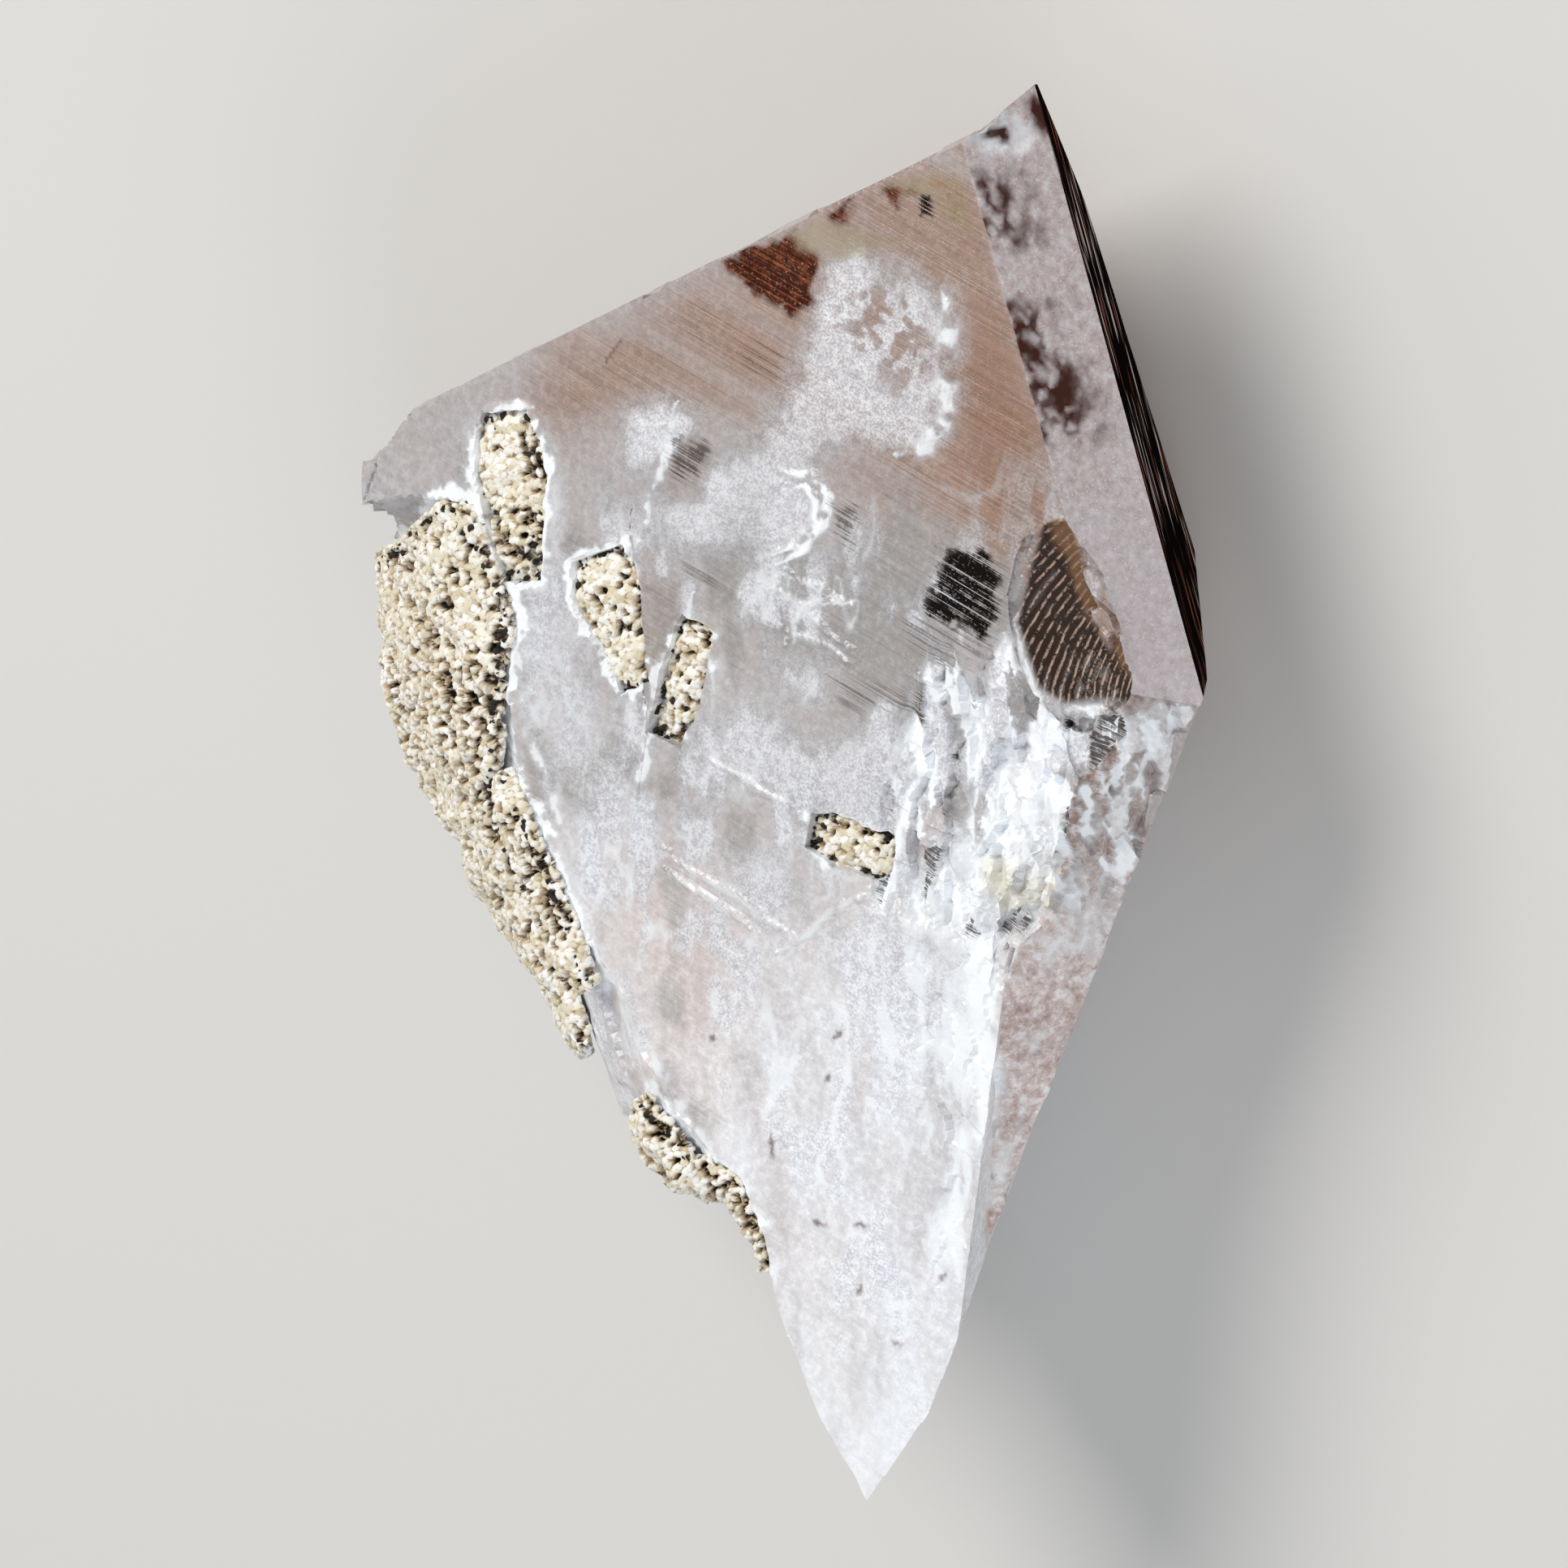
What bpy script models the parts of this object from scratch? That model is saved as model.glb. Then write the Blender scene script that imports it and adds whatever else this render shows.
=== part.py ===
"""A smoky quartz point lying on one of its prism faces.

One crystal, grown as one piece, with patches of granular crust seated on its
broken shoulder and in the pockets along its growth ledge.

Frame, in metres: +Y is the crystal's c axis, towards the tip. +Z is the normal
of the broad front prism face. The crystal rests on the opposite, parallel face,
at Z = 0, and the origin is a point of that resting face.
"""

import math

import bmesh
import bpy
from mathutils import Vector, noise

MM = 0.001

# ---- Driving dimensions -------------------------------------------------------

THICKNESS = 20.0 * MM                # between the two broad prism faces
GAP = 0.3 * MM                       # clearance between the crystal and its crust
BLANK = 140.0 * MM                   # side of the block that the crystal is cut from
REACH = 80.0 * MM                    # how far a cutter extends past the crystal

RHOMB_TILT = 51.79                   # quartz rhombohedron: degrees from the c axis
PRISM_TILT = 90.0                    # a prism face is parallel to the c axis

# Each face: azimuth about c from the front face, tilt from c, distance in mm.
FACES = {
    "prism_lower_right": (120, PRISM_TILT, 13.65),
    "prism_lower_left": (240, PRISM_TILT, 24.1),
    "prism_upper_left": (300, PRISM_TILT, 34.0),
    "left_corner_step": (282.1, 72.5, 32.3),
    "rhomb_right": (60, RHOMB_TILT, 33.94),
    "rhomb_lower_right": (120, RHOMB_TILT, 22.24),
    "rhomb_back": (180, RHOMB_TILT, 16.4),
    "rhomb_lower_left": (240, RHOMB_TILT, 22.5),
    "rhomb_upper_left": (300, RHOMB_TILT, 32.83),
    "right_flank_step": (151.5, 59.7, 13.6),
    "right_corner_step": (131.3, 75.8, 13.38),
    "root_step": (122.1, 101.5, 17.1),
    "root": (0, 180.0, 36.0),
}
# The prism face at the right ends in a slanting wall, and the crown of the tip
# stands behind another: each wedge is what lies beyond both of its planes.
RIGHT_BEVEL = [(60, PRISM_TILT, 28.84), (109.7, 75.7, 13.57)]
TIP_RECESS = [(286.6, 65.9, 21.3), (276.7, 47.9, 29.15)]

GROWTH_STEPS = 30                    # terraces across the front face
GROWTH_SPAN = (-50.0, 55.0)          # mm of y that they take up
STEP_DEPTH = 0.16 * MM
STEP_WANDER = 1.2 * MM               # how unevenly the terraces are spread
STEP_RISE = 0.3                      # a terrace's low side, as a share of its depth
STEP_SLOPE = 0.12 * MM               # width of the little slope between two terraces

LEDGE_DEPTH = 0.45 * MM              # the left of the front face lies this much lower
LEDGE_FADE = 0.6                     # share of that depth lost towards the root
LEDGE_SLOPE = 0.1 * MM               # how far the ledge's wall leans
LEDGE_EDGE = [                       # (x, y) mm along the edge of that ledge
    (-16.0, 26.0), (-12.4, 18.5), (-11.0, 15.0), (-10.8, 12.1), (-9.0, 9.0),
    (-6.6, 4.5), (-4.8, 1.8), (-3.9, -1.8), (-2.9, -5.4), (-3.4, -9.5), (-4.5, -14.0),
]

# The broken end: one warped surface. It is laid out along BREAK_ALONG, from
# BREAK_START, and away from the crystal along BREAK_OUT.
BREAK_START = Vector((-18.5, 5.1, 0.0)) * MM
BREAK_ALONG = Vector((0.761, -0.649, 0.0)).normalized()
BREAK_OUT = Vector((-0.649, -0.761, 0.0)).normalized()
BREAK_SPAN = (-16.0, 66.0)           # mm along
# Stations in mm: along, rim (at the front face), shoulder edge, its height, foot.
BREAK_STATIONS = [
    (-16.0, 13.0, 13.5, 15.5, 13.0),
    (-6.4, 8.6, 9.6, 15.5, 10.0),
    (-5.0, 0.6, 10.2, 14.2, 10.0),
    (-3.6, -1.4, 11.0, 13.4, 10.6),
    (3.5, -1.2, 13.4, 13.0, 12.0),
    (7.5, 0.8, 13.1, 13.0, 12.4),
    (13.0, 2.8, 11.9, 13.2, 11.6),
    (18.0, 2.5, 10.8, 13.4, 10.0),
    (23.0, 2.4, 9.6, 13.7, 8.6),
    (26.0, 2.1, 9.8, 13.9, 7.8),
    (31.0, 1.8, 9.6, 14.0, 6.6),
    (35.0, 0.7, 7.2, 14.6, 4.0),
    (37.2, -0.8, 0.2, 15.0, 0.0),
    (41.0, -0.9, -1.4, 14.5, -2.4),
    (46.0, 0.0, -0.6, 14.0, -4.6),
    (51.0, 0.2, -1.0, 13.5, -7.6),
    (56.5, -0.8, -3.2, 13.0, -10.0),
    (66.0, -3.0, -6.0, 12.5, -13.0),
]
BREAK_ROUGHNESS = 0.45 * MM
BREAK_GRAIN = 6.0 * MM
BREAK_BELLY = (0.52, 0.42)           # middle of the shoulder: shares outwards and down
BREAK_REACHES = (-7.5, 33.0)         # mm from the rim: what the cutter's fine cells cover
BREAK_CELLS = (46, 24)               # of the cutter: along and across

CRUST_THICKNESS = 1.15 * MM
CRUST_GRAIN = 1.5 * MM
CRUST_SEAT = 1.35 * GAP              # a little over the gap, for the flat cells over curves
SHOULDER_CELL = 0.95 * MM
POCKET_DEPTH = 1.5 * MM
POCKET_MARGIN = 1.4 * GAP
POCKET_WOBBLE = 0.35 * MM
POCKET_CELL = 0.75 * MM

# Crust on the broken shoulder, in mm on the broken surface. Each station: along,
# then where the crust begins and ends, measured from the rim over the shoulder.
SHOULDER_CRUSTS = {
    "crust_flank": [
        (-4.3, 1.6, 14.0), (-3.0, 1.0, 16.5), (2.0, 0.9, 19.5), (6.5, 1.4, 19.0),
        (9.0, 2.6, 17.5), (12.0, 4.6, 15.5), (17.0, 5.2, 14.3), (21.0, 5.4, 12.0),
        (24.0, 5.8, 10.4), (26.4, 6.4, 9.4),
    ],
    "crust_strip": [
        (11.2, 1.6, 2.6), (13.0, 0.7, 3.2), (17.0, 0.6, 3.6), (20.5, 0.7, 3.2),
        (24.0, 1.0, 1.9),
    ],
    "crust_foot": [
        (31.4, 0.8, 2.0), (33.0, 0.7, 4.4), (35.0, 0.6, 5.0), (37.4, 0.6, 4.0),
        (40.0, 0.6, 2.6), (43.0, 0.8, 1.7),
    ],
}
# Crust in pockets of the front face: spine from (x, y) to (x, y) in mm, then the
# half widths along it.
POCKETS = {
    "crust_upper_pocket": ((-20.9, 13.4), (-16.4, 5.8), (1.1, 1.9, 2.1, 1.9, 1.5, 1.2, 0.9)),
    "crust_middle_pocket": ((-11.9, 9.0), (-7.0, 3.9), (1.4, 2.1, 1.9, 1.3, 0.9, 0.8)),
    "crust_inner_pocket": ((-4.3, 8.6), (-3.7, 2.2), (0.7, 1.0, 1.15, 1.2, 1.0, 0.7)),
    "crust_small_pocket": ((7.4, 1.9), (12.0, 2.7), (0.6, 0.95, 1.0, 0.9, 0.6)),
}

# Scoops: centre (x, y), half lengths, turn in degrees, depth, number of shell-like
# ripples, their height, and the height of its long splinters. Lengths are in mm.
SCOOPS = {
    "ridge_scoop": ((18.6, 20.0), (6.3, 4.3), -44.0, 1.9, 6, 0.05, 0.0),
    "ridge_foot_scoop": ((22.3, 15.4), (3.0, 2.6), -20.0, 1.2, 2, 0.05, 0.2),
    "fracture_hollow": ((17.6, 10.2), (6.4, 4.4), 114.0, 0.7, 0, 0.0, 0.55),
    "edge_splinters": ((21.6, 4.2), (5.2, 1.7), 96.0, 0.8, 0, 0.0, 0.5),
    "face_chip": ((2.4, 41.9), (1.0, 1.0), 20.0, 2.9, 0, 0.0, 0.1),
}
SCOOP_MARGIN = 1.25                  # a cutter's half size, as a share of its scoop's
SCOOP_ROUGHNESS = 0.2                # as a share of the depth, up to 1 mm of depth
SPLINTER_SIZE = (0.5, 1.6)           # pieces of noise in a mm, along and across them

KNOB_SIZE = Vector((5.4, 5.0, 6.4)) * MM     # rounded outgrowth at the left corner
KNOB_PLACE = Vector((-26.3, 5.7, 16.2)) * MM
KNOB_TURN = 24.0

NOISE_SEED = 11

QUARTZ_COLOR = (0.62, 0.50, 0.45, 1.0)
CRUST_COLOR = (0.80, 0.72, 0.56, 1.0)


# ---- Helpers ------------------------------------------------------------------

def clear_scene():
    noise.seed_set(NOISE_SEED)
    for item in list(bpy.data.objects):
        bpy.data.objects.remove(item, do_unlink=True)


def collection(name):
    group = bpy.data.collections.new(name)
    bpy.context.scene.collection.children.link(group)
    return group


def material(name, color, roughness):
    finish = bpy.data.materials.new(name)
    finish.use_nodes = True
    shader = finish.node_tree.nodes["Principled BSDF"]
    shader.inputs["Base Color"].default_value = color
    shader.inputs["Roughness"].default_value = roughness
    shader.inputs["Metallic"].default_value = 0.0
    return finish


def new_object(name, bm, group, finish=None):
    mesh = bpy.data.meshes.new(name)
    bm.to_mesh(mesh)
    bm.free()
    item = bpy.data.objects.new(name, mesh)
    group.objects.link(item)
    if finish:
        mesh.materials.append(finish)
    return item


def as_cutter(item):
    item.hide_render = True
    item.display_type = "WIRE"
    return item


def boolean(target, tool, operation="DIFFERENCE"):
    modifier = target.modifiers.new(tool.name, "BOOLEAN")
    modifier.operation = operation
    modifier.solver = "EXACT"
    modifier.object = tool


def mix(start, end, share):
    return start + (end - start) * share


def along_table(rows, place):
    """Every column of a table of rows, read at a place in its first column."""
    if place <= rows[0][0]:
        return rows[0][1:]
    for low, high in zip(rows, rows[1:]):
        if place <= high[0]:
            share = (place - low[0]) / (high[0] - low[0])
            share = share * share * (3.0 - 2.0 * share)
            return [mix(a, b, share) for a, b in zip(low[1:], high[1:])]
    return rows[-1][1:]


def along_line(points, share):
    """The point at a share of a list of evenly spread points."""
    place = share * (len(points) - 1)
    index = min(int(place), len(points) - 2)
    return mix(points[index], points[index + 1], place - index)


# ---- Crystal faces ------------------------------------------------------------

def face_normal(azimuth, tilt):
    turn = math.radians(azimuth)
    lean = math.radians(tilt)
    return Vector((math.sin(lean) * math.sin(turn), math.cos(lean), math.sin(lean) * math.cos(turn)))


def slice_off(bm, normal, distance):
    """Cut away what lies beyond a plane, and close the cut with one flat face."""
    everything = bm.verts[:] + bm.edges[:] + bm.faces[:]
    bmesh.ops.bisect_plane(
        bm, geom=everything, dist=1e-7, plane_co=normal * distance, plane_no=normal, clear_outer=True)
    rim = [edge for edge in bm.edges if edge.is_boundary]
    if rim:
        bmesh.ops.contextual_create(bm, geom=rim)


def crystal_blank(group, finish):
    """The quartz form: a block sliced by its prism and rhombohedron faces."""
    bm = bmesh.new()
    bmesh.ops.create_cube(bm, size=BLANK)
    slice_off(bm, Vector((0, 0, 1)), THICKNESS + STEP_DEPTH)
    slice_off(bm, Vector((0, 0, -1)), 0.0)
    for azimuth, tilt, distance in FACES.values():
        slice_off(bm, face_normal(azimuth, tilt), distance * MM)
    bmesh.ops.recalc_face_normals(bm, faces=bm.faces[:])
    return new_object("quartz_point", bm, group, finish)


def wedge(name, planes, group):
    """A block of all that lies beyond every one of the planes."""
    bm = bmesh.new()
    bmesh.ops.create_cube(bm, size=BLANK)
    for azimuth, tilt, distance in planes:
        slice_off(bm, -face_normal(azimuth, tilt), -distance * MM)
    bmesh.ops.recalc_face_normals(bm, faces=bm.faces[:])
    return as_cutter(new_object(name, bm, group))


# ---- Warped slabs -------------------------------------------------------------

def slab(name, rows, columns, lower, upper, group, finish=None):
    """A closed slab between two surfaces, each given as a function of two shares."""
    bm = bmesh.new()
    bmesh.ops.create_grid(bm, x_segments=columns, y_segments=rows, size=1.0)
    base = bm.verts[:]
    made = bmesh.ops.extrude_face_region(bm, geom=bm.faces[:], use_keep_orig=True)
    raised = [item for item in made["geom"] if isinstance(item, bmesh.types.BMVert)]
    for surface, verts in ((lower, base), (upper, raised)):
        for vert in verts:
            vert.co = surface((vert.co.y + 1.0) / 2.0, (vert.co.x + 1.0) / 2.0)
    bmesh.ops.recalc_face_normals(bm, faces=bm.faces[:])
    if bm.calc_volume(signed=True) < 0.0:
        bmesh.ops.reverse_faces(bm, faces=bm.faces[:])
    bmesh.ops.triangulate(bm, faces=bm.faces[:])
    return new_object(name, bm, group, finish)


def growth_terraces(group):
    """Cutter over the front face: its underside is a flight of low steps along c."""
    def step_edge(index):
        even = mix(GROWTH_SPAN[0], GROWTH_SPAN[1], index / GROWTH_STEPS) * MM
        return even + STEP_WANDER * noise.noise(Vector((index, 3.7, 0.0)))

    def lower(along, across):
        count = 2 * GROWTH_STEPS
        row = round(along * count)
        index = row // 2
        drop = STEP_DEPTH if row % 2 else STEP_RISE * STEP_DEPTH
        shift = -STEP_SLOPE if row % 2 else 0.0
        start = step_edge(index + row % 2) + shift
        return Vector((mix(-REACH, REACH, across), start, THICKNESS + STEP_DEPTH - drop))

    def upper(along, across):
        low = lower(along, across)
        return Vector((low.x, low.y, THICKNESS + REACH))

    return as_cutter(slab("growth_terraces", 2 * GROWTH_STEPS, 1, lower, upper, group))


def ledge_cutter(group):
    """Lowers the left of the front face, up to a crooked ledge."""
    edge = [Vector((x, y, 0.0)) * MM for x, y in LEDGE_EDGE]

    def lower(along, across):
        start = along_line(edge, along)
        depth = LEDGE_DEPTH * (1.0 - LEDGE_FADE * along ** 4)
        return Vector((mix(start.x, -REACH, across), start.y, THICKNESS - depth))

    def upper(along, across):
        low = lower(along, across)
        return Vector((low.x + LEDGE_SLOPE, low.y, THICKNESS + REACH))

    return as_cutter(slab("ledge_cutter", 2 * (len(edge) - 1), 1, lower, upper, group))


def scoop_cutter(name, scoop, group):
    """A shallow bowl, rippled or splintered, sunk in the front face or its edge."""
    place, half, turn, depth, ripples, ripple_height, splinters = scoop
    cos_turn = math.cos(math.radians(turn))
    sin_turn = math.sin(math.radians(turn))

    def lower(along, across):
        u = (2.0 * across - 1.0) * SCOOP_MARGIN
        v = (2.0 * along - 1.0) * SCOOP_MARGIN
        radius = math.sqrt(u * u + v * v)
        ripple = math.sin(radius * ripples * math.pi) * ripple_height
        height = depth * (radius * radius - 1.0) + ripple
        x = u * half[0] * cos_turn - v * half[1] * sin_turn
        y = u * half[0] * sin_turn + v * half[1] * cos_turn
        rough = noise.noise(Vector((x, y, 1.7)) * 0.6) * SCOOP_ROUGHNESS * min(depth, 1.0)
        lengthwise = SPLINTER_SIZE[0] * u * half[0]
        crosswise = SPLINTER_SIZE[1] * v * half[1]
        ridge = abs(noise.noise(Vector((lengthwise, crosswise, place[0]))))
        rough += splinters * (0.5 - 1.6 * ridge)
        return Vector((place[0] + x, place[1] + y, height + rough)) * MM + Vector((0, 0, THICKNESS))

    def upper(along, across):
        return lower(along, across) + Vector((0, 0, REACH))

    segments = max(12, 4 * ripples)
    return as_cutter(slab(name, segments, segments, lower, upper, group))


# ---- The broken end -----------------------------------------------------------

def break_profile(along):
    """Corners of the broken surface across one place: (out, height) in metres."""
    rim, edge, height, foot = along_table(BREAK_STATIONS, along / MM)
    top = THICKNESS / MM
    corners = [
        (rim - 7.0, top + 5.0),
        (rim, top),
        (mix(rim, edge, BREAK_BELLY[0]), mix(top, height, BREAK_BELLY[1])),
        (edge, height),
        (edge + 0.5, height * 0.62),
        (mix(edge, foot, 0.8), height * 0.3),
        (foot, 0.0),
        (foot - 1.0, -5.0),
        (foot + REACH / MM, -8.0),
    ]
    return [Vector((out, level)) * MM for out, level in corners]


def break_point(along, reach):
    """A point of the broken surface: reach is measured from the rim, over the shoulder."""
    corners = break_profile(along)
    lengths = [(b - a).length for a, b in zip(corners, corners[1:])]
    place = reach + lengths[0]
    spot = corners[-1]
    for corner, following, length in zip(corners, corners[1:], lengths):
        if place <= length:
            spot = mix(corner, following, place / length)
            break
        place -= length
    point = BREAK_START + BREAK_ALONG * along + BREAK_OUT * spot.x + Vector((0, 0, spot.y))
    coarse = noise.noise_vector(point / BREAK_GRAIN)
    fine = noise.noise_vector(point / (0.4 * BREAK_GRAIN))
    return point + (coarse + 0.4 * fine) * BREAK_ROUGHNESS


def break_normal(along, reach):
    step = 1.2 * MM
    forward = break_point(along + step, reach) - break_point(along - step, reach)
    outward = break_point(along, reach + step) - break_point(along, reach - step)
    return outward.cross(forward).normalized()


def break_cutter(group):
    """Everything beyond the broken surface. Its last row of cells reaches far out."""
    sweep = (BREAK_OUT * 0.75 + Vector((0, 0, 0.66))) * REACH
    rows, columns = BREAK_CELLS
    last_fine = (columns - 1) / columns

    def lower(along, across):
        place = mix(BREAK_SPAN[0], BREAK_SPAN[1], along) * MM
        reach = mix(BREAK_REACHES[0], BREAK_REACHES[1], across / last_fine) * MM
        return break_point(place, reach if across <= last_fine + 1e-4 else 2.0 * REACH)

    def upper(along, across):
        return lower(along, across) + sweep

    return as_cutter(slab("break_cutter", rows, columns, lower, upper, group))


# ---- Crust --------------------------------------------------------------------

def grain(point):
    """Rounded grains: 0 between them, 1 at their tops."""
    distances, _ = noise.voronoi(point / CRUST_GRAIN)
    return max(0.0, 1.0 - 1.5 * distances[0] * distances[0])


def edge_taper(along, across):
    """1 over most of a patch, falling to a rounded edge all round."""
    nearest = min(along, 1.0 - along, across, 1.0 - across)
    return math.sqrt(min(1.0, nearest * 6.0 + 0.12))


def shoulder_crust(name, stations, group, finish):
    start = stations[0][0] * MM
    end = stations[-1][0] * MM
    widest = max(last - first for _, first, last in stations) * MM

    def place(along, across):
        spot = mix(start, end, along)
        first, last = along_table(stations, spot / MM)
        return spot, mix(first, last, across) * MM

    def lower(along, across):
        spot, reach = place(along, across)
        return break_point(spot, reach) + break_normal(spot, reach) * CRUST_SEAT

    def upper(along, across):
        spot, reach = place(along, across)
        base = break_point(spot, reach)
        height = CRUST_THICKNESS * edge_taper(along, across) * (0.62 + 0.62 * grain(base))
        return lower(along, across) + break_normal(spot, reach) * height

    rows = max(6, round((end - start) / SHOULDER_CELL))
    columns = max(3, round(widest / SHOULDER_CELL))
    return slab(name, rows, columns, lower, upper, group, finish)


def pocket_surface(spine, margin):
    """Points of a pocket's outline region, widened by a margin, on Z = 0."""
    start = Vector((spine[0][0], spine[0][1], 0.0)) * MM
    end = Vector((spine[1][0], spine[1][1], 0.0)) * MM
    direction = (end - start).normalized()
    side = Vector((-direction.y, direction.x, 0.0))
    start = start - direction * margin
    end = end + direction * margin

    def surface(along, across):
        half = along_line(spine[2], along) * MM + margin
        wobble = POCKET_WOBBLE * noise.noise(Vector((along * 5.0, across * 2.0, spine[0][0])))
        return mix(start, end, along) + side * (mix(-half, half, across) + wobble)

    return surface


def pocket_cutter(name, spine, group):
    outline = pocket_surface(spine, POCKET_MARGIN)
    floor = Vector((0, 0, THICKNESS - POCKET_DEPTH))

    def lower(along, across):
        return outline(along, across) + floor

    def upper(along, across):
        return lower(along, across) + Vector((0, 0, REACH))

    return as_cutter(slab(name, 8, 2, lower, upper, group))


def pocket_crust(name, spine, group, finish):
    outline = pocket_surface(spine, 0.0)
    bed = Vector((0, 0, THICKNESS - POCKET_DEPTH + GAP))

    def lower(along, across):
        return outline(along, across) + bed

    def upper(along, across):
        base = lower(along, across)
        height = (POCKET_DEPTH - GAP) * edge_taper(along, across) * (0.45 + 0.5 * grain(base))
        return base + Vector((0, 0, height))

    length = (Vector(spine[1]) - Vector(spine[0])).length * MM
    rows = max(6, round(length / POCKET_CELL))
    columns = max(3, round(2.0 * max(spine[2]) * MM / POCKET_CELL))
    return slab(name, rows, columns, lower, upper, group, finish)


# ---- The left corner ----------------------------------------------------------

def corner_knob(group):
    """A small rounded outgrowth, joined to the crystal at its left corner."""
    bm = bmesh.new()
    bmesh.ops.create_cube(bm, size=1.0)
    bmesh.ops.scale(bm, vec=KNOB_SIZE, verts=bm.verts[:])
    bmesh.ops.bevel(
        bm, geom=bm.edges[:], offset=1.3 * MM, segments=3, profile=0.6, affect="EDGES")
    knob = as_cutter(new_object("corner_knob", bm, group))
    knob.location = KNOB_PLACE
    knob.rotation_euler = (0.0, 0.0, math.radians(KNOB_TURN))
    return knob


# ---- Assembly -----------------------------------------------------------------

def build_crystal(group, cutters):
    smoky = material("smoky_quartz", QUARTZ_COLOR, 0.12)
    crystal = crystal_blank(group, smoky)
    boolean(crystal, growth_terraces(cutters))
    boolean(crystal, wedge("right_bevel", RIGHT_BEVEL, cutters))
    boolean(crystal, wedge("tip_recess", TIP_RECESS, cutters))
    boolean(crystal, ledge_cutter(cutters))
    boolean(crystal, corner_knob(cutters), "UNION")
    boolean(crystal, break_cutter(cutters))
    for name, scoop in SCOOPS.items():
        boolean(crystal, scoop_cutter(name, scoop, cutters))
    for name, spine in POCKETS.items():
        boolean(crystal, pocket_cutter(name.replace("crust", "seat"), spine, cutters))
    return crystal


def build_crust(group):
    granular = material("granular_crust", CRUST_COLOR, 0.85)
    for name, stations in SHOULDER_CRUSTS.items():
        shoulder_crust(name, stations, group, granular)
    for name, spine in POCKETS.items():
        pocket_crust(name, spine, group, granular)


def main():
    clear_scene()
    group = collection("smoky_quartz_point")
    cutters = collection("cutters")
    build_crystal(group, cutters)
    build_crust(group)


main()
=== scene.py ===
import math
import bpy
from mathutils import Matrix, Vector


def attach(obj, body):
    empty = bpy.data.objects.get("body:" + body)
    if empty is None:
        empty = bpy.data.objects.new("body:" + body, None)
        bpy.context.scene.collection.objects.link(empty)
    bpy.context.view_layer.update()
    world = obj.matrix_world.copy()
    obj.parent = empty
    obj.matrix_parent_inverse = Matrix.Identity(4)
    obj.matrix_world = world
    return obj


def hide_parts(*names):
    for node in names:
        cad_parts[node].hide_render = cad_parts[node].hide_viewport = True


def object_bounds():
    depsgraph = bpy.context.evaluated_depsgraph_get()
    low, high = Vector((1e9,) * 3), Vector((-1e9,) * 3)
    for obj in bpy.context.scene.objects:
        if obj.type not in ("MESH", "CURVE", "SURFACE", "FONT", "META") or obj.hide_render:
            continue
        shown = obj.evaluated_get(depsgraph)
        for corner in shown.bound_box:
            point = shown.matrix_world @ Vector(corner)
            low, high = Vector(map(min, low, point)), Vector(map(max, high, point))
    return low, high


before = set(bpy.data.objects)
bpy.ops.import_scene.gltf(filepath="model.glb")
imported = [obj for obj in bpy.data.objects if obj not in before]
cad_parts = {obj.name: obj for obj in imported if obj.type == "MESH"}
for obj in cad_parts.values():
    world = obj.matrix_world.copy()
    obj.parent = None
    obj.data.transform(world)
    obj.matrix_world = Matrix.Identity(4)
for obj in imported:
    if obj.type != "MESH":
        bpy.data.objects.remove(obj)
CAD_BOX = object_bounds()

# The looks of the smoky quartz point: a see-through, part milky crystal with its growth
# lines, fractures and clouds, and patches of granular crust. Lengths are in millimetres, or
# in metres for the camera, floor and lights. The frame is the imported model's: +Y towards the
# tip, +Z up from the broad front face, which lies at z = 20.

from types import SimpleNamespace

import bmesh
import bpy
import numpy as np
from mathutils import Matrix, Vector, bvhtree, geometry, kdtree

MM = 0.001
FRONT = 20.0  # height of the front face
CAD_BOX_MM = np.array([list(corner) for corner in CAD_BOX]) / MM


# ---- Shader maths ----

class Wire:
    """A socket of a material's nodes. Arithmetic on it adds Math nodes."""

    def __init__(self, paint, socket):
        self.paint = paint
        self.socket = socket

    def math(self, operation, *others):
        return self.paint.node("ShaderNodeMath", {"operation": operation}, self, *others)

    def __add__(self, other):
        return self.math("ADD", other)

    def __mul__(self, other):
        return self.math("MULTIPLY", other)

    def __sub__(self, other):
        return self.math("SUBTRACT", other)

    def __rsub__(self, other):
        return self.paint.node("ShaderNodeMath", {"operation": "SUBTRACT"}, other, self)

    def most(self, other):
        return self.math("MAXIMUM", other)

    __radd__ = __add__
    __rmul__ = __mul__


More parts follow.
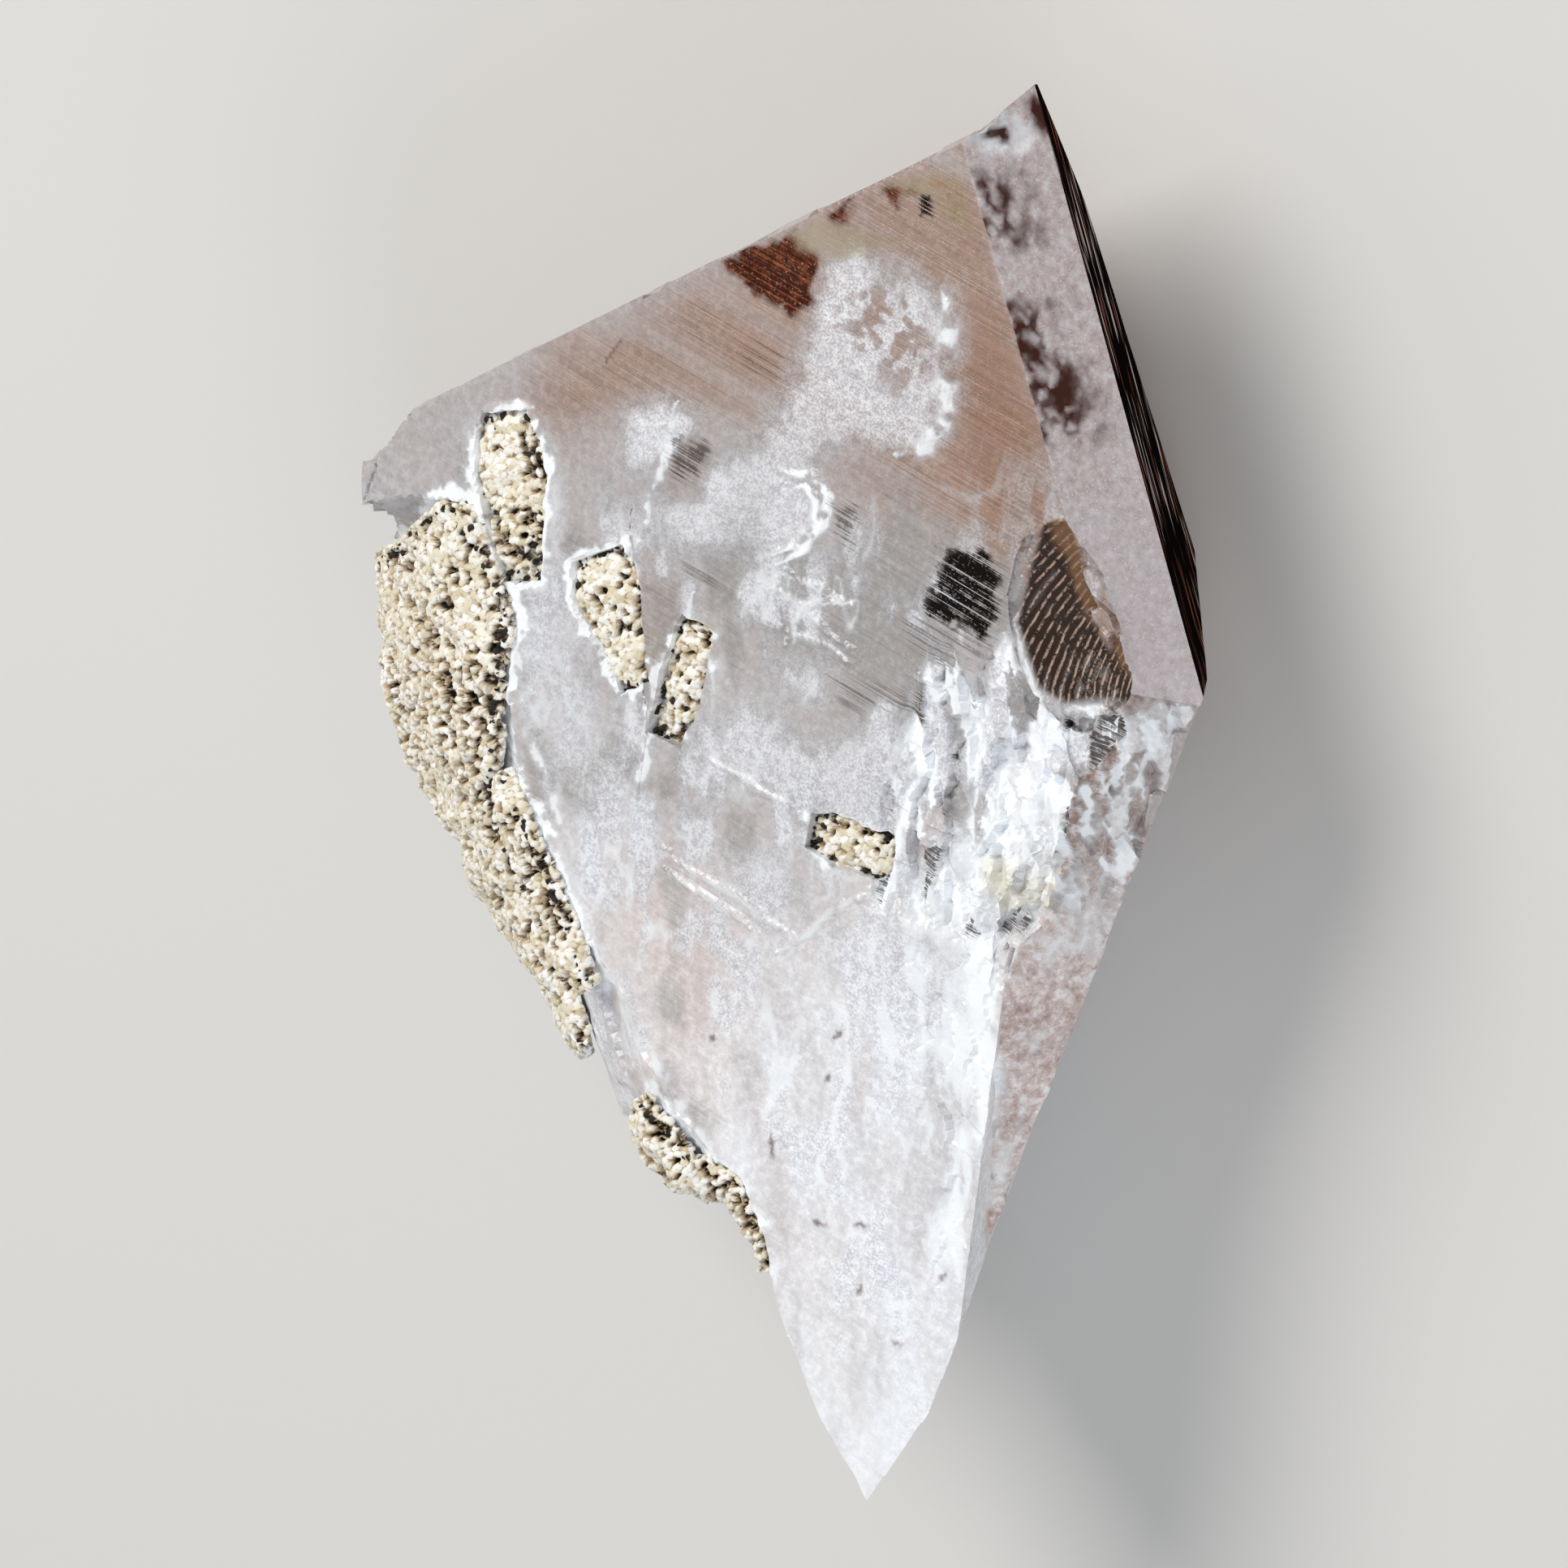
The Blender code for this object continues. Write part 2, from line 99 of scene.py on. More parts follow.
class Paint:
    """The nodes of one material."""

    def __init__(self, name):
        self.material = bpy.data.materials.new(name)
        self.material.use_nodes = True
        self.tree = self.material.node_tree
        self.tree.nodes.clear()

    def node(self, kind, settings=None, *values, out=0, **named):
        """Adds a node: its settings, then values or wires by place, then by socket name."""
        made = self.tree.nodes.new(kind)
        for key, value in (settings or {}).items():
            if key == "stops":
                self.set_stops(made.color_ramp, value)
            else:
                setattr(made, key, value)
        for index, value in enumerate(values):
            self.feed(made.inputs[index], value)
        for key, value in named.items():
            self.feed(self.socket(made.inputs, key), value)
        return Wire(self, self.socket(made.outputs, out))

    @staticmethod
    def socket(sockets, key):
        """A socket by its place, its identifier, or its name with _ for each space."""
        if isinstance(key, int):
            return sockets[key]
        for item in sockets:
            if item.identifier == key:
                return item
        return sockets[key.replace("_", " ")]

    @staticmethod
    def set_stops(ramp, stops):
        while len(ramp.elements) < len(stops):
            ramp.elements.new(0.5)
        for element, (position, color) in zip(ramp.elements, stops):
            element.position = position
            element.color = (*color, 1.0)

    def feed(self, socket, value):
        if isinstance(value, Wire):
            self.tree.links.new(value.socket, socket)
        elif value is not None:
            if socket.type == "RGBA" and len(value) == 3:
                value = (*value, 1.0)
            socket.default_value = value

    def fade(self, value, low, high):
        """0 at low, 1 at high, and smooth between them, whichever is the larger."""
        return self.node("ShaderNodeMapRange", {"interpolation_type": "SMOOTHSTEP"},
                         value, low, high, 0.0, 1.0)

    def blend(self, share, first, second):
        return self.node("ShaderNodeMix", {"data_type": "RGBA"}, Factor_Float=share,
                         A_Color=first, B_Color=second, out="Result_Color")

    def shade(self, color, amount):
        """A colour times a number."""
        return self.node("ShaderNodeVectorMath", {"operation": "SCALE"}, color, Scale=amount)

    def ramp(self, value, stops):
        return self.node("ShaderNodeValToRGB", {"stops": stops}, value)

    def place_mm(self):
        """Object coordinates in millimetres."""
        return self.shade(self.node("ShaderNodeTexCoord", out="Object"), 1.0 / MM)

    def noise(self, place, scale, detail, roughness, stretch=None):
        """Cloudy noise, of so many lumps a millimetre, stretched in x, y and z."""
        if stretch:
            place = self.node("ShaderNodeMapping", {"vector_type": "TEXTURE"}, place, Scale=stretch)
        return self.node("ShaderNodeTexNoise", None, Vector=place, Scale=scale, Detail=detail,
                         Roughness=roughness, out="Fac")


# ---- Patterns over a mesh's points ----
# Points are rows of x, y and z in millimetres.

def most(*masks):
    """The largest of several masks, point by point."""
    return np.maximum.reduce(masks)


def smooth(value, low, high):
    """0 at low, 1 at high, and smooth between them, whichever is the larger."""
    share = np.clip((value - low) / (high - low), 0.0, 1.0)
    return share * share * (3.0 - 2.0 * share)


def lattice_noise(points, seed):
    """Smooth noise from 0 to 1 with a lump to each unit."""
    cell = np.floor(points).astype(np.int64)
    part = points - cell
    part = part * part * (3.0 - 2.0 * part)
    total = np.zeros(len(points))
    for corner in np.ndindex(2, 2, 2):
        spot = cell + np.array(corner)
        mixed = (spot[:, 0] * 73856093) ^ (spot[:, 1] * 19349663) ^ (spot[:, 2] * 83492791)
        mixed = mixed ^ (seed * 668265263)
        mixed = ((mixed ^ (mixed >> 13)) * 1274126177) & 0x7FFFFFFF
        mixed = (mixed ^ (mixed >> 15)) & 0xFFFF
        total += np.prod(np.where(corner, part, 1.0 - part), axis=1) * mixed / 65535.0
    return total


def layered(points, size, layers=4, seed=1, fall=0.55):
    """Cloudy noise, 0.5 on average, with its largest lumps of a size in x, y and z."""
    total = np.zeros(len(points))
    place = points / np.array(size, float)
    weight = 1.0
    whole = 0.0
    for layer in range(layers):
        total += weight * lattice_noise(place + 17.3 * layer, seed + layer)
        whole += weight
        weight *= fall
        place = place * 2.03
    return total / whole


def drifted(points, size, reach, seed):
    """The points moved about in x and y, so that outlines through them are ragged."""
    moved = points.copy()
    for axis in range(2):
        moved[:, axis] += (layered(points, (size,) * 3, 3, seed + 31 * axis) - 0.5) * 2.0 * reach
    return moved


def turned(points, degrees):
    """The points in axes turned about z."""
    turn = math.radians(degrees)
    across = points[:, 0] * math.cos(turn) + points[:, 1] * math.sin(turn)
    along = points[:, 1] * math.cos(turn) - points[:, 0] * math.sin(turn)
    return np.column_stack([across, along, points[:, 2]])


def path_distance(points, path):
    """How far points lie from a path in x and y."""
    best = np.full(len(points), 1e9)
    for (x0, y0), (x1, y1) in zip(path, path[1:]):
        run = np.array([x1 - x0, y1 - y0])
        away = points[:, :2] - np.array([x0, y0])
        share = np.clip(away @ run / max(run @ run, 1e-9), 0.0, 1.0)
        best = np.minimum(best, np.linalg.norm(away - share[:, None] * run, axis=1))
    return best


def depth_inside(points, outline):
    """How deep points lie inside an outline in x and y, below 0 outside it."""
    closed = list(outline) + [outline[0]]
    within = np.zeros(len(points), bool)
    x, y = points[:, 0], points[:, 1]
    for (x0, y0), (x1, y1) in zip(closed, closed[1:]):
        if y0 != y1:
            crosses = ((y0 > y) != (y1 > y)) & (x < (x1 - x0) * (y - y0) / (y1 - y0) + x0)
            within ^= crosses
    return np.where(within, 1.0, -1.0) * path_distance(points, closed)


def patches(points, outlines, soft):
    """1 well inside any of the outlines, 0 outside them."""
    return billows(points, outlines, 0.5, 0.0, soft)


def billows(points, outlines, lumps, swirl, soft):
    """Patches whose edges billow in and out by a noise."""
    swell = (lumps - 0.5) * swirl
    return most(*(smooth(depth_inside(points, outline) + swell, -soft, soft) for outline in outlines))


def strands(points, paths, width, taper=0.25):
    """1 along any of the paths, thinning towards their ends."""
    mask = np.zeros(len(points))
    for path in paths:
        ends = np.minimum(np.linalg.norm(points[:, :2] - np.array(path[0]), axis=1),
                          np.linalg.norm(points[:, :2] - np.array(path[-1]), axis=1))
        half = width * (taper + (1.0 - taper) * smooth(ends, 0.0, 2.5))
        mask = np.maximum(mask, smooth(path_distance(points, path), half * 1.5, half * 0.5))
    return mask


def splinters(points, where, count, area, lean, thin, seed):
    """Heights of flat splinters with sharp creases, and a tone from 0 to 1 for each.

    The area is its lowest x and y, then its size in x and y."""
    chance = np.random.default_rng(seed)
    corner, size = area
    squeeze = np.array([thin, 1.0, 0.0])
    corners = np.zeros((count, 3))
    corners[:, :2] = np.array(corner) + chance.random((count, 2)) * np.array(size)
    seeds = turned(corners, lean) * squeeze
    base = chance.random(count)
    tones = chance.random(count)
    slope = chance.uniform(-0.5, 0.5, (count, 2))
    tree = kdtree.KDTree(count)
    for index, spot in enumerate(seeds):
        tree.insert(spot, index)
    tree.balance()
    height = np.zeros(len(points))
    tone = np.zeros(len(points))
    chosen = np.flatnonzero(where > 0.0)
    place = turned(points[chosen], lean) * squeeze
    owner = np.array([tree.find(spot)[1] for spot in place])
    climb = np.sum((place - seeds[owner])[:, :2] * slope[owner], axis=1)
    height[chosen] = np.clip(base[owner] + climb, 0.0, 1.4)
    tone[chosen] = tones[owner]
    return height, tone


# ---- Colours, linear ----

PALE_PINK = (0.81, 0.76, 0.755)
MILK = (0.82, 0.84, 0.885)
TAN = (0.60, 0.405, 0.32)
CLEAR_WHITE = (0.94, 0.97, 1.0)
CLOUD_GREY = (0.56, 0.56, 0.63)
OCHRE = (0.42, 0.27, 0.13)
ORANGE_BROWN = (0.50, 0.27, 0.165)
FLECK_BROWN = (0.16, 0.09, 0.06)
RUST = (0.27, 0.080, 0.037)
RED_BROWN = (0.045, 0.010, 0.004)
BEIGE = (0.56, 0.54, 0.525)
# Painted shade: near black where the clear stone of the windows is seen into.
SEE_THROUGH_SHADE = (0.010, 0.008, 0.007)
COMB_BROWN = (0.10, 0.055, 0.04)
STRAW = (0.83, 0.77, 0.57)
GLINT = (0.97, 0.95, 0.93)
# Painted light and shade on the clear chip: pale arcs where its ripples catch the light, near black between
# them.
SHELL_SEE_THROUGH_SHADE, SHELL_LIT_ARCS = (0.030, 0.017, 0.012), (0.60, 0.42, 0.33)
RIDGE_DARK, RIDGE_PALE = (0.20, 0.105, 0.055), (0.42, 0.27, 0.18)
FROST = [(0.26, (0.50, 0.385, 0.375)), (0.46, (0.66, 0.55, 0.55)), (0.70, (0.88, 0.84, 0.86))]
FROST_GREY = (0.74, 0.71, 0.76)
FROST_GLINT = (1.0, 0.96, 0.95)
FROST_STAIN = (0.060, 0.018, 0.012)
FLANK = [(0.30, (0.50, 0.36, 0.32)), (0.48, (0.72, 0.60, 0.57)), (0.68, (0.96, 0.92, 0.92))]
FLANK_BROWN, FLANK_TAN = (0.30, 0.185, 0.15), (0.56, 0.42, 0.37)
# Painted shade: the tip face turned down and away from the lamps is near black; the brown and pale lines on
# it are its own.
SHADE_BLACK, SHADED_LINE_BROWN, SHADED_LINE_PALE = (0.004, 0.003, 0.003), (0.22, 0.075, 0.042), (0.50, 0.42, 0.40)
SMOKE = (0.62, 0.48, 0.40)
CRUST_TONES = [
    (0.0, (0.68, 0.59, 0.41)), (0.3, (0.82, 0.76, 0.61)),
    (0.6, (0.91, 0.88, 0.79)), (1.0, (0.97, 0.97, 0.95)),
]
CRUST_WHITE = (0.92, 0.94, 0.95)
# Painted shade: brown in the seams between the crust's grains, near black in its pits.
SEAM_SHADE_BROWN = (0.42, 0.285, 0.13)
PIT_SHADE_BLACK = (0.014, 0.009, 0.005)
FLOOR = (0.68, 0.67, 0.65)
SKY = (0.95, 0.97, 1.0, 1.0)

# ---- Camera, floor and light ----

VIEW_UP = Vector((-0.4654, 0.8787, -0.1063))
VIEW_BACK = Vector((0.4621, 0.3437, 0.8176))  # from the crystal to the camera
VIEW_TARGET = Vector((0.0, 0.0, 0.012))
VIEW_DISTANCE = 0.560
LENS_MM = 226.8
SENSOR_MM = 36.0
FRAME_PIXELS = 1932  # across and down the camera's square frame


def view_axes():
    """Directions to the right, up and back, as the camera sees them."""
    back = VIEW_BACK.normalized()
    right = VIEW_UP.cross(back).normalized()
    return right, back.cross(right), back


def at(column, row):
    """Where a pixel of the camera's frame shows the front face's plane, to a tenth of a mm."""
    right, up, back = view_axes()
    pixel = SENSOR_MM / LENS_MM / FRAME_PIXELS
    ray = right * (column - FRAME_PIXELS / 2) * pixel + up * (FRAME_PIXELS / 2 - row) * pixel - back
    camera = (VIEW_TARGET + back * VIEW_DISTANCE) / MM
    spot = camera + ray * ((FRONT - camera.z) / ray.z)
    return round(spot.x, 1), round(spot.y, 1)


def add_camera():
    data = bpy.data.cameras.new("camera")
    data.sensor_width = SENSOR_MM
    data.lens = LENS_MM
    data.clip_start = 0.01
    camera = bpy.data.objects.new("camera", data)
    bpy.context.scene.collection.objects.link(camera)
    right, up, back = view_axes()
    turn = Matrix((right, up, back)).transposed().to_4x4()
    camera.matrix_world = Matrix.Translation(VIEW_TARGET + back * VIEW_DISTANCE) @ turn
    bpy.context.scene.camera = camera


def add_light(name, place, size, power, color):
    data = bpy.data.lights.new(name, "AREA")
    data.shape = "DISK"
    data.size = size
    data.energy = power
    data.color = color
    light = bpy.data.objects.new(name, data)
    bpy.context.scene.collection.objects.link(light)
    light.location = place
    light.rotation_euler = (VIEW_TARGET - Vector(place)).to_track_quat("-Z", "Y").to_euler()


def add_studio():
    scene = bpy.context.scene
    scene.view_settings.view_transform = "Standard"
    world = bpy.data.worlds.new("studio")
    world.use_nodes = True
    world.node_tree.nodes["Background"].inputs["Color"].default_value = SKY
    world.node_tree.nodes["Background"].inputs["Strength"].default_value = 0.45
    scene.world = world
    add_light("key", (-0.35, 0.30, 0.55), 0.45, 3.6, (1.0, 0.97, 0.93))
    add_light("fill", (0.55, -0.25, 0.35), 0.5, 1.4, (0.93, 0.96, 1.0))
    bpy.ops.mesh.primitive_plane_add(size=3.0, location=(0.0, 0.0, -0.0001))
    floor = bpy.context.active_object
    floor.name = "floor"
    paint = Paint("pale_floor")
    shader = paint.node("ShaderNodeBsdfPrincipled", None, Base_Color=FLOOR, Roughness=0.9)
    finish(paint, shader)
    floor.data.materials.append(paint.material)


def finish(paint, surface, volume=None):
    """Adds the material's output."""
    output = paint.tree.nodes.new("ShaderNodeOutputMaterial")
    paint.feed(output.inputs["Surface"], surface)
    paint.feed(output.inputs["Volume"], volume)


# ---- Where the crystal's features lie ----
# Outlines and paths in x and y, where they show on the broad front face's plane. A point is
# given in millimetres, or by the pixel of the camera's frame that shows it.

TAN_ZONE = [
    at(690, 430), at(880, 331), (0.8, 42.5), (4.4, 40.0), (9.8, 33.6), (17.5, 25.6), (14.0, 21.3),
    at(1170, 665), at(1080, 620), at(990, 560), at(900, 510), at(800, 490), at(700, 540), at(650, 500),
]
ORANGE_ZONE = [
    (5.4, 33.2), (7.2, 33.6), (9.6, 31.0), (14.4, 26.7), (16.8, 24.1), (16.0, 21.8), (11.7, 21.6),
    (8.4, 24.2), (6.2, 27.7),
]
BEIGE_ZONE = [
    (-1.7, 15.6), (2.2, 15.5), (5.0, 19.7), at(1160, 690), (9.2, 16.0), (12.7, 14.6), (11.0, 11.2),
    (5.1, 10.4), (0.5, 10.4), (-3.2, 11.2),
]
SMOKY_LENSES = [
    [at(777, 700), at(828, 725), at(836, 766), at(818, 827), at(798, 868), at(772, 807), at(770, 746)],
    [(-10.4, 15.8), (-8.8, 18.4), at(880, 560), (-7.2, 15.6), (-8.8, 14.6)],
]
PINK_GAPS = [
    [at(780, 880), (-6.9, 6.0), (-5.0, 9.2), (-4.0, 6.2), at(810, 870)],
    [at(770, 660), (-7.5, 10.9), at(840, 790), at(800, 800), at(775, 740)],
    [at(780, 1060), at(860, 1080), at(900, 1160), (6.1, -11.5), (4.0, -13.3), (0.2, -10.1)],
]
LOWER_WHITE = [
    (7.8, -9.2), (11.4, -4.6), (14.3, 0.8), (19.1, 4.0), (24.0, 5.0), (34.0, 0.0), (34.0, -40.0),
    (6.0, -40.0), (8.0, -18.0),
]
LEFT_WHITE = [
    (-22.4, 11.6), (-19.0, 13.6), (-17.2, 13.1), at(700, 700), at(740, 860), at(790, 1000), at(800, 1050),
    at(740, 1100), at(700, 1000), at(650, 820), at(630, 700), at(600, 600),
]
CLOUD_HOLES = [(-1.6, 31.6), (1.8, 32.2), (3.6, 29.4), (2.6, 27.0), (-0.6, 27.4), (-2.0, 29.4)]
MAIN_CLOUD = [
    at(1010, 330), at(1060, 300), (0.4, 33.8), (3.1, 33.3), (4.9, 30.1), (5.9, 27.6), at(1150, 555),
    at(1100, 560), (1.0, 21.6), (0.0, 19.6), (0.7, 16.9), at(960, 705), at(900, 690), at(860, 700),
    (-7.0, 10.8), (-9.6, 12.6), (-9.4, 15.7), (-6.6, 18.9), (-4.8, 20.4), at(975, 450), at(1000, 400),
]
SMALL_CLOUD = [at(770, 510), at(830, 500), at(865, 515), (-8.4, 17.6), at(810, 595), at(775, 575)]
BAND_CLOUDS = [
    [at(750, 870), at(790, 850), at(800, 900), at(780, 960), at(750, 930)],
    [at(960, 820), at(1010, 820), at(1020, 870), at(980, 880)],
    [at(850, 870), at(960, 880), at(1060, 900), at(1130, 870), at(1200, 900), at(1200, 1000), at(1100, 1080),
     (9.1, 0.8), (4.8, 2.6), (1.0, 1.6), (-2.2, 1.1)],
    [at(900, 1050), at(960, 1060), at(1000, 1100), at(960, 1150), at(900, 1110)],
    [at(1020, 1160), at(1090, 1100), at(1180, 1180), at(1190, 1300), at(1130, 1350), at(1080, 1280)],
]
CLOUD_RIM = [(2.6, 33.4), (3.9, 31.8), (5.0, 28.8), at(1160, 520), (5.2, 24.4), (4.0, 23.5)]
LOBE_RIMS = [
    [at(960, 580), at(1000, 585), (0.7, 19.5), (1.1, 17.9), (0.5, 16.1), at(955, 700)],
    [(-2.2, 18.6), (-0.9, 19.2), (0.1, 18.7), (0.5, 17.6), (0.0, 16.2), (-1.4, 14.6)],
]
LOBE = [(-3.4, 18.6), (-1.6, 19.8), (0.3, 19.4), (0.9, 17.8), (0.2, 15.8), (-1.6, 14.4), (-3.2, 15.6)]
UPPER_STRAND = [(-10.6, 19.6), (-9.9, 16.2), at(800, 612), at(788, 660), (-9.8, 9.5)]
MIDDLE_STRAND = [(-5.3, 10.2), at(848, 780), (-5.7, 5.2), (-5.0, 3.1), at(797, 925), (-3.9, -2.4)]
LEFT_EDGE = [
    at(640, 780), at(652, 900), at(690, 1000), at(706, 1075), at(742, 1200), at(770, 1265), at(812, 1320),
    at(855, 1390), at(893, 1450),
]
WHITE_BAND = [
    at(1185, 1150), at(1225, 1140), at(1232, 1210), at(1222, 1270), at(1245, 1330), at(1232, 1420),
    (26.7, -12.8), at(1205, 1420), at(1192, 1300), at(1183, 1220),
]
WHITE_FAN = [
    (16.6, 3.4), (19.2, -0.6), (21.2, -4.4), (24.0, -9.0), (26.0, -14.2), (24.4, -16.2), (21.2, -11.2),
    (18.2, -5.6), (15.6, -1.2),
]
WHITE_CORE = [
    at(1280, 900), at(1300, 1000), at(1250, 1110), (20.4, 1.0), (18.4, -0.3), at(1100, 1150), at(1120, 1080),
    at(1200, 1010), at(1240, 930),
]
PLATE_EDGES = [
    [at(960, 705), at(1050, 745)],
    [(4.6, 14.9), at(985, 745), at(980, 770), at(960, 800)],
    [at(930, 715), at(980, 745), at(1050, 800)],
]
GROWTH_LINES = [
    [at(955, 1175), at(1000, 1150), at(1030, 1120), at(1075, 1098)],
    [at(812, 1045), at(990, 1160)],
    [(-1.0, -4.9), at(940, 1150)],
    [at(870, 930), at(985, 1000)],
    [at(960, 770), at(1055, 815)],
]
FRACTURE_ZONE = [
    at(1110, 880), (9.8, 13.0), at(1165, 800), at(1200, 850), (14.3, 18.7), (15.5, 18.2), (17.4, 16.2),
    (19.8, 16.0), (23.9, 19.7), (27.5, 22.0), (28.5, 20.0), (28.5, 11.3), (26.4, 7.8), at(1300, 1130),
    at(1240, 1160), at(1150, 1150), at(1080, 1110), at(1090, 980),
]
SHARDS = [
    [at(1250, 765), at(1262, 810), at(1280, 860), at(1288, 900), at(1284, 960), at(1278, 1011)],
    [at(1172, 800), at(1185, 860), at(1195, 900), at(1197, 960), at(1188, 1010), at(1195, 1060)],
    [at(1130, 900), at(1125, 960), at(1105, 1040), at(1080, 1090)],
    [at(1238, 900), at(1232, 960), at(1230, 1040), at(1238, 1090)],
    [at(1350, 920), at(1362, 965), at(1380, 1010)],
    [at(1440, 870), at(1428, 930), at(1400, 990), at(1385, 1030)],
    [at(1312, 868), at(1340, 870), at(1360, 890), at(1372, 925)],
    [at(1155, 1040), at(1158, 1100), at(1150, 1150)],
]
GREY_GAPS = [
    [at(1300, 955), at(1345, 950), at(1370, 1000), at(1330, 1020), at(1290, 1010)],
    [(14.6, 8.6), (15.6, 8.2), (14.6, 3.6), (13.4, 3.4), (13.6, 6.6)],
]
DARK_GAPS = [
    [at(1366, 873), at(1396, 880), at(1400, 905), at(1384, 918), at(1370, 900)],
    [at(1305, 875), at(1325, 872), at(1335, 906), at(1315, 899)],
    [at(1165, 930), at(1180, 925), at(1183, 942), at(1168, 945)],
    [at(1310, 990), at(1350, 985), at(1340, 1000), at(1310, 1003)],
    [at(1128, 240), at(1150, 236), at(1150, 272), at(1128, 270)],
]
YELLOW_STAINS = [
    [at(1200, 1060), at(1260, 1080), at(1340, 1050), at(1330, 1090), at(1290, 1130), at(1230, 1120)],
    [at(1295, 1075), at(1345, 1045), at(1335, 1085), at(1300, 1110)],
]
GOLD_SPECKS = [
    [at(975, 285), at(1000, 275), (-3.2, 33.8), (-1.0, 34.6), (-2.6, 32.8), (-5.2, 31.3), (-6.7, 31.2)],
    [at(1080, 225), at(1130, 215), at(1185, 225), (3.7, 36.9), (1.7, 36.6), (0.2, 37.6)],
]
RED_STAINS = [
    [(-11.4, 27.9), (-9.2, 30.2), (-7.8, 31.6), at(1010, 310), (-4.5, 30.3), (-4.9, 27.8), at(955, 380),
     at(925, 360)],
    [at(1018, 261), (-4.7, 35.3), (-4.2, 34.0), (-5.4, 33.2)],
    [(-3.2, 36.3), (-2.2, 37.5), (-1.1, 37.3), (-2.2, 35.9)],
]
WINDOWS = [
    [(8.6, 20.6), (11.0, 21.9), (13.3, 20.8), (13.6, 16.9), (9.0, 16.0)],
    [(1.1, 19.3), (3.1, 19.9), (3.9, 18.1), (1.8, 17.5)],
    [(-9.9, 17.7), (-7.5, 18.4), at(870, 600), (-9.2, 15.2)],
]
FAINT_WINDOWS = [
    [(6.9, 16.1), at(1240, 780), (13.6, 14.8), (8.7, 13.4)],
    [(-7.4, 11.8), (-3.2, 13.2), (-4.1, 11.0), (-6.4, 9.9)],
    [(3.8, 11.4), (10.0, 12.1), (11.4, 10.7), (5.9, 8.6)],
    [(-8.6, 24.8), (-5.0, 26.0), (-3.8, 24.0), (-7.8, 22.6)],
]
SHELL_CHIP = [
    at(1267, 700), at(1250, 765), at(1277, 847), at(1310, 870), at(1347, 863), at(1397, 870), (24.5, 19.7),
    (23.0, 20.3), (20.1, 21.6), (17.9, 23.1), (15.4, 25.6), (13.8, 25.0),
]
SHELL_RIDGE = [(10.9, 28.0), (14.3, 26.2), (16.7, 24.2), (18.9, 22.4), (21.8, 21.0), (24.2, 19.8)]
SHELL_CENTRE = (23.9, 18.9)  # the arcs of the chip run about this point
SHELL_PITCH = 0.44  # between its pale arcs; the relief's are twice as far apart
DASHES = [  # x, y, half length, half width, degrees
    (12.0, -15.8, 0.85, 0.1, -60.0), (16.6, -18.2, 0.65, 0.1, 10.0), (19.0, -16.9, 0.55, 0.07, 25.0),
    (13.4, -7.9, 0.5, 0.12, 60.0), (*at(1020, 1329), 0.3, 0.12, 80.0), (25.0, -16.9, 0.4, 0.1, 60.0),
    (*at(1060, 1590), 0.45, 0.1, 80.0), (*at(1105, 1655), 0.5, 0.08, 20.0), (*at(878, 1278), 0.24, 0.2, 0.0),
    (12.4, -21.0, 1.3, 0.07, -33.0), (-15.4, 20.4, 1.4, 0.07, 75.0),
]
# On the tip face: the x and y of the points themselves.
TIP_MOTTLES = [
    [(1.8, 40.0), (3.4, 39.8), (5.6, 37.2), (4.6, 36.6), (2.4, 38.2)],
    [(6.4, 34.9), (8.2, 35.0), (10.9, 31.8), (9.6, 31.0), (7.4, 32.8)],
    [(9.0, 32.4), (10.8, 32.6), (13.2, 29.2), (12.0, 28.6), (10.0, 30.4)],
]
APEX_CHIP = [(0.5, 42.6), (1.2, 43.0), (2.4, 42.2), (2.6, 41.3), (1.4, 41.2), (0.7, 41.8)]
APEX_STAINS = [
    [(1.2, 44.0), (1.9, 43.6), (3.1, 42.3), (2.7, 42.3), (1.5, 43.2)],
    [(1.0, 42.4), (1.6, 42.4), (2.0, 41.8), (1.3, 41.7)],
]


# ---- The crystal's finish ----

QUARTZ_IOR = 1.544
SMOKE_DENSITY = 55.0
TIP_FACE = (60.0, 51.79)  # degrees about c and from c
SHADED_TIP_FACE = (120.0, 51.79)
# The tip face that is painted in shade, near black.
SIDE_FACE = (60.0, 90.0)
DARK_LINES = (0.62, -0.68, -0.39)  # the dark face's lines run this way
UPRIGHT = 23.7  # the fractures run along y turned by so many degrees


def face_normal(azimuth, tilt):
    """Outward normal of a crystal face, from degrees about c and from c."""
    turn = math.radians(azimuth)
    lean = math.radians(tilt)
    return (math.sin(lean) * math.sin(turn), math.cos(lean), math.sin(lean) * math.cos(turn))


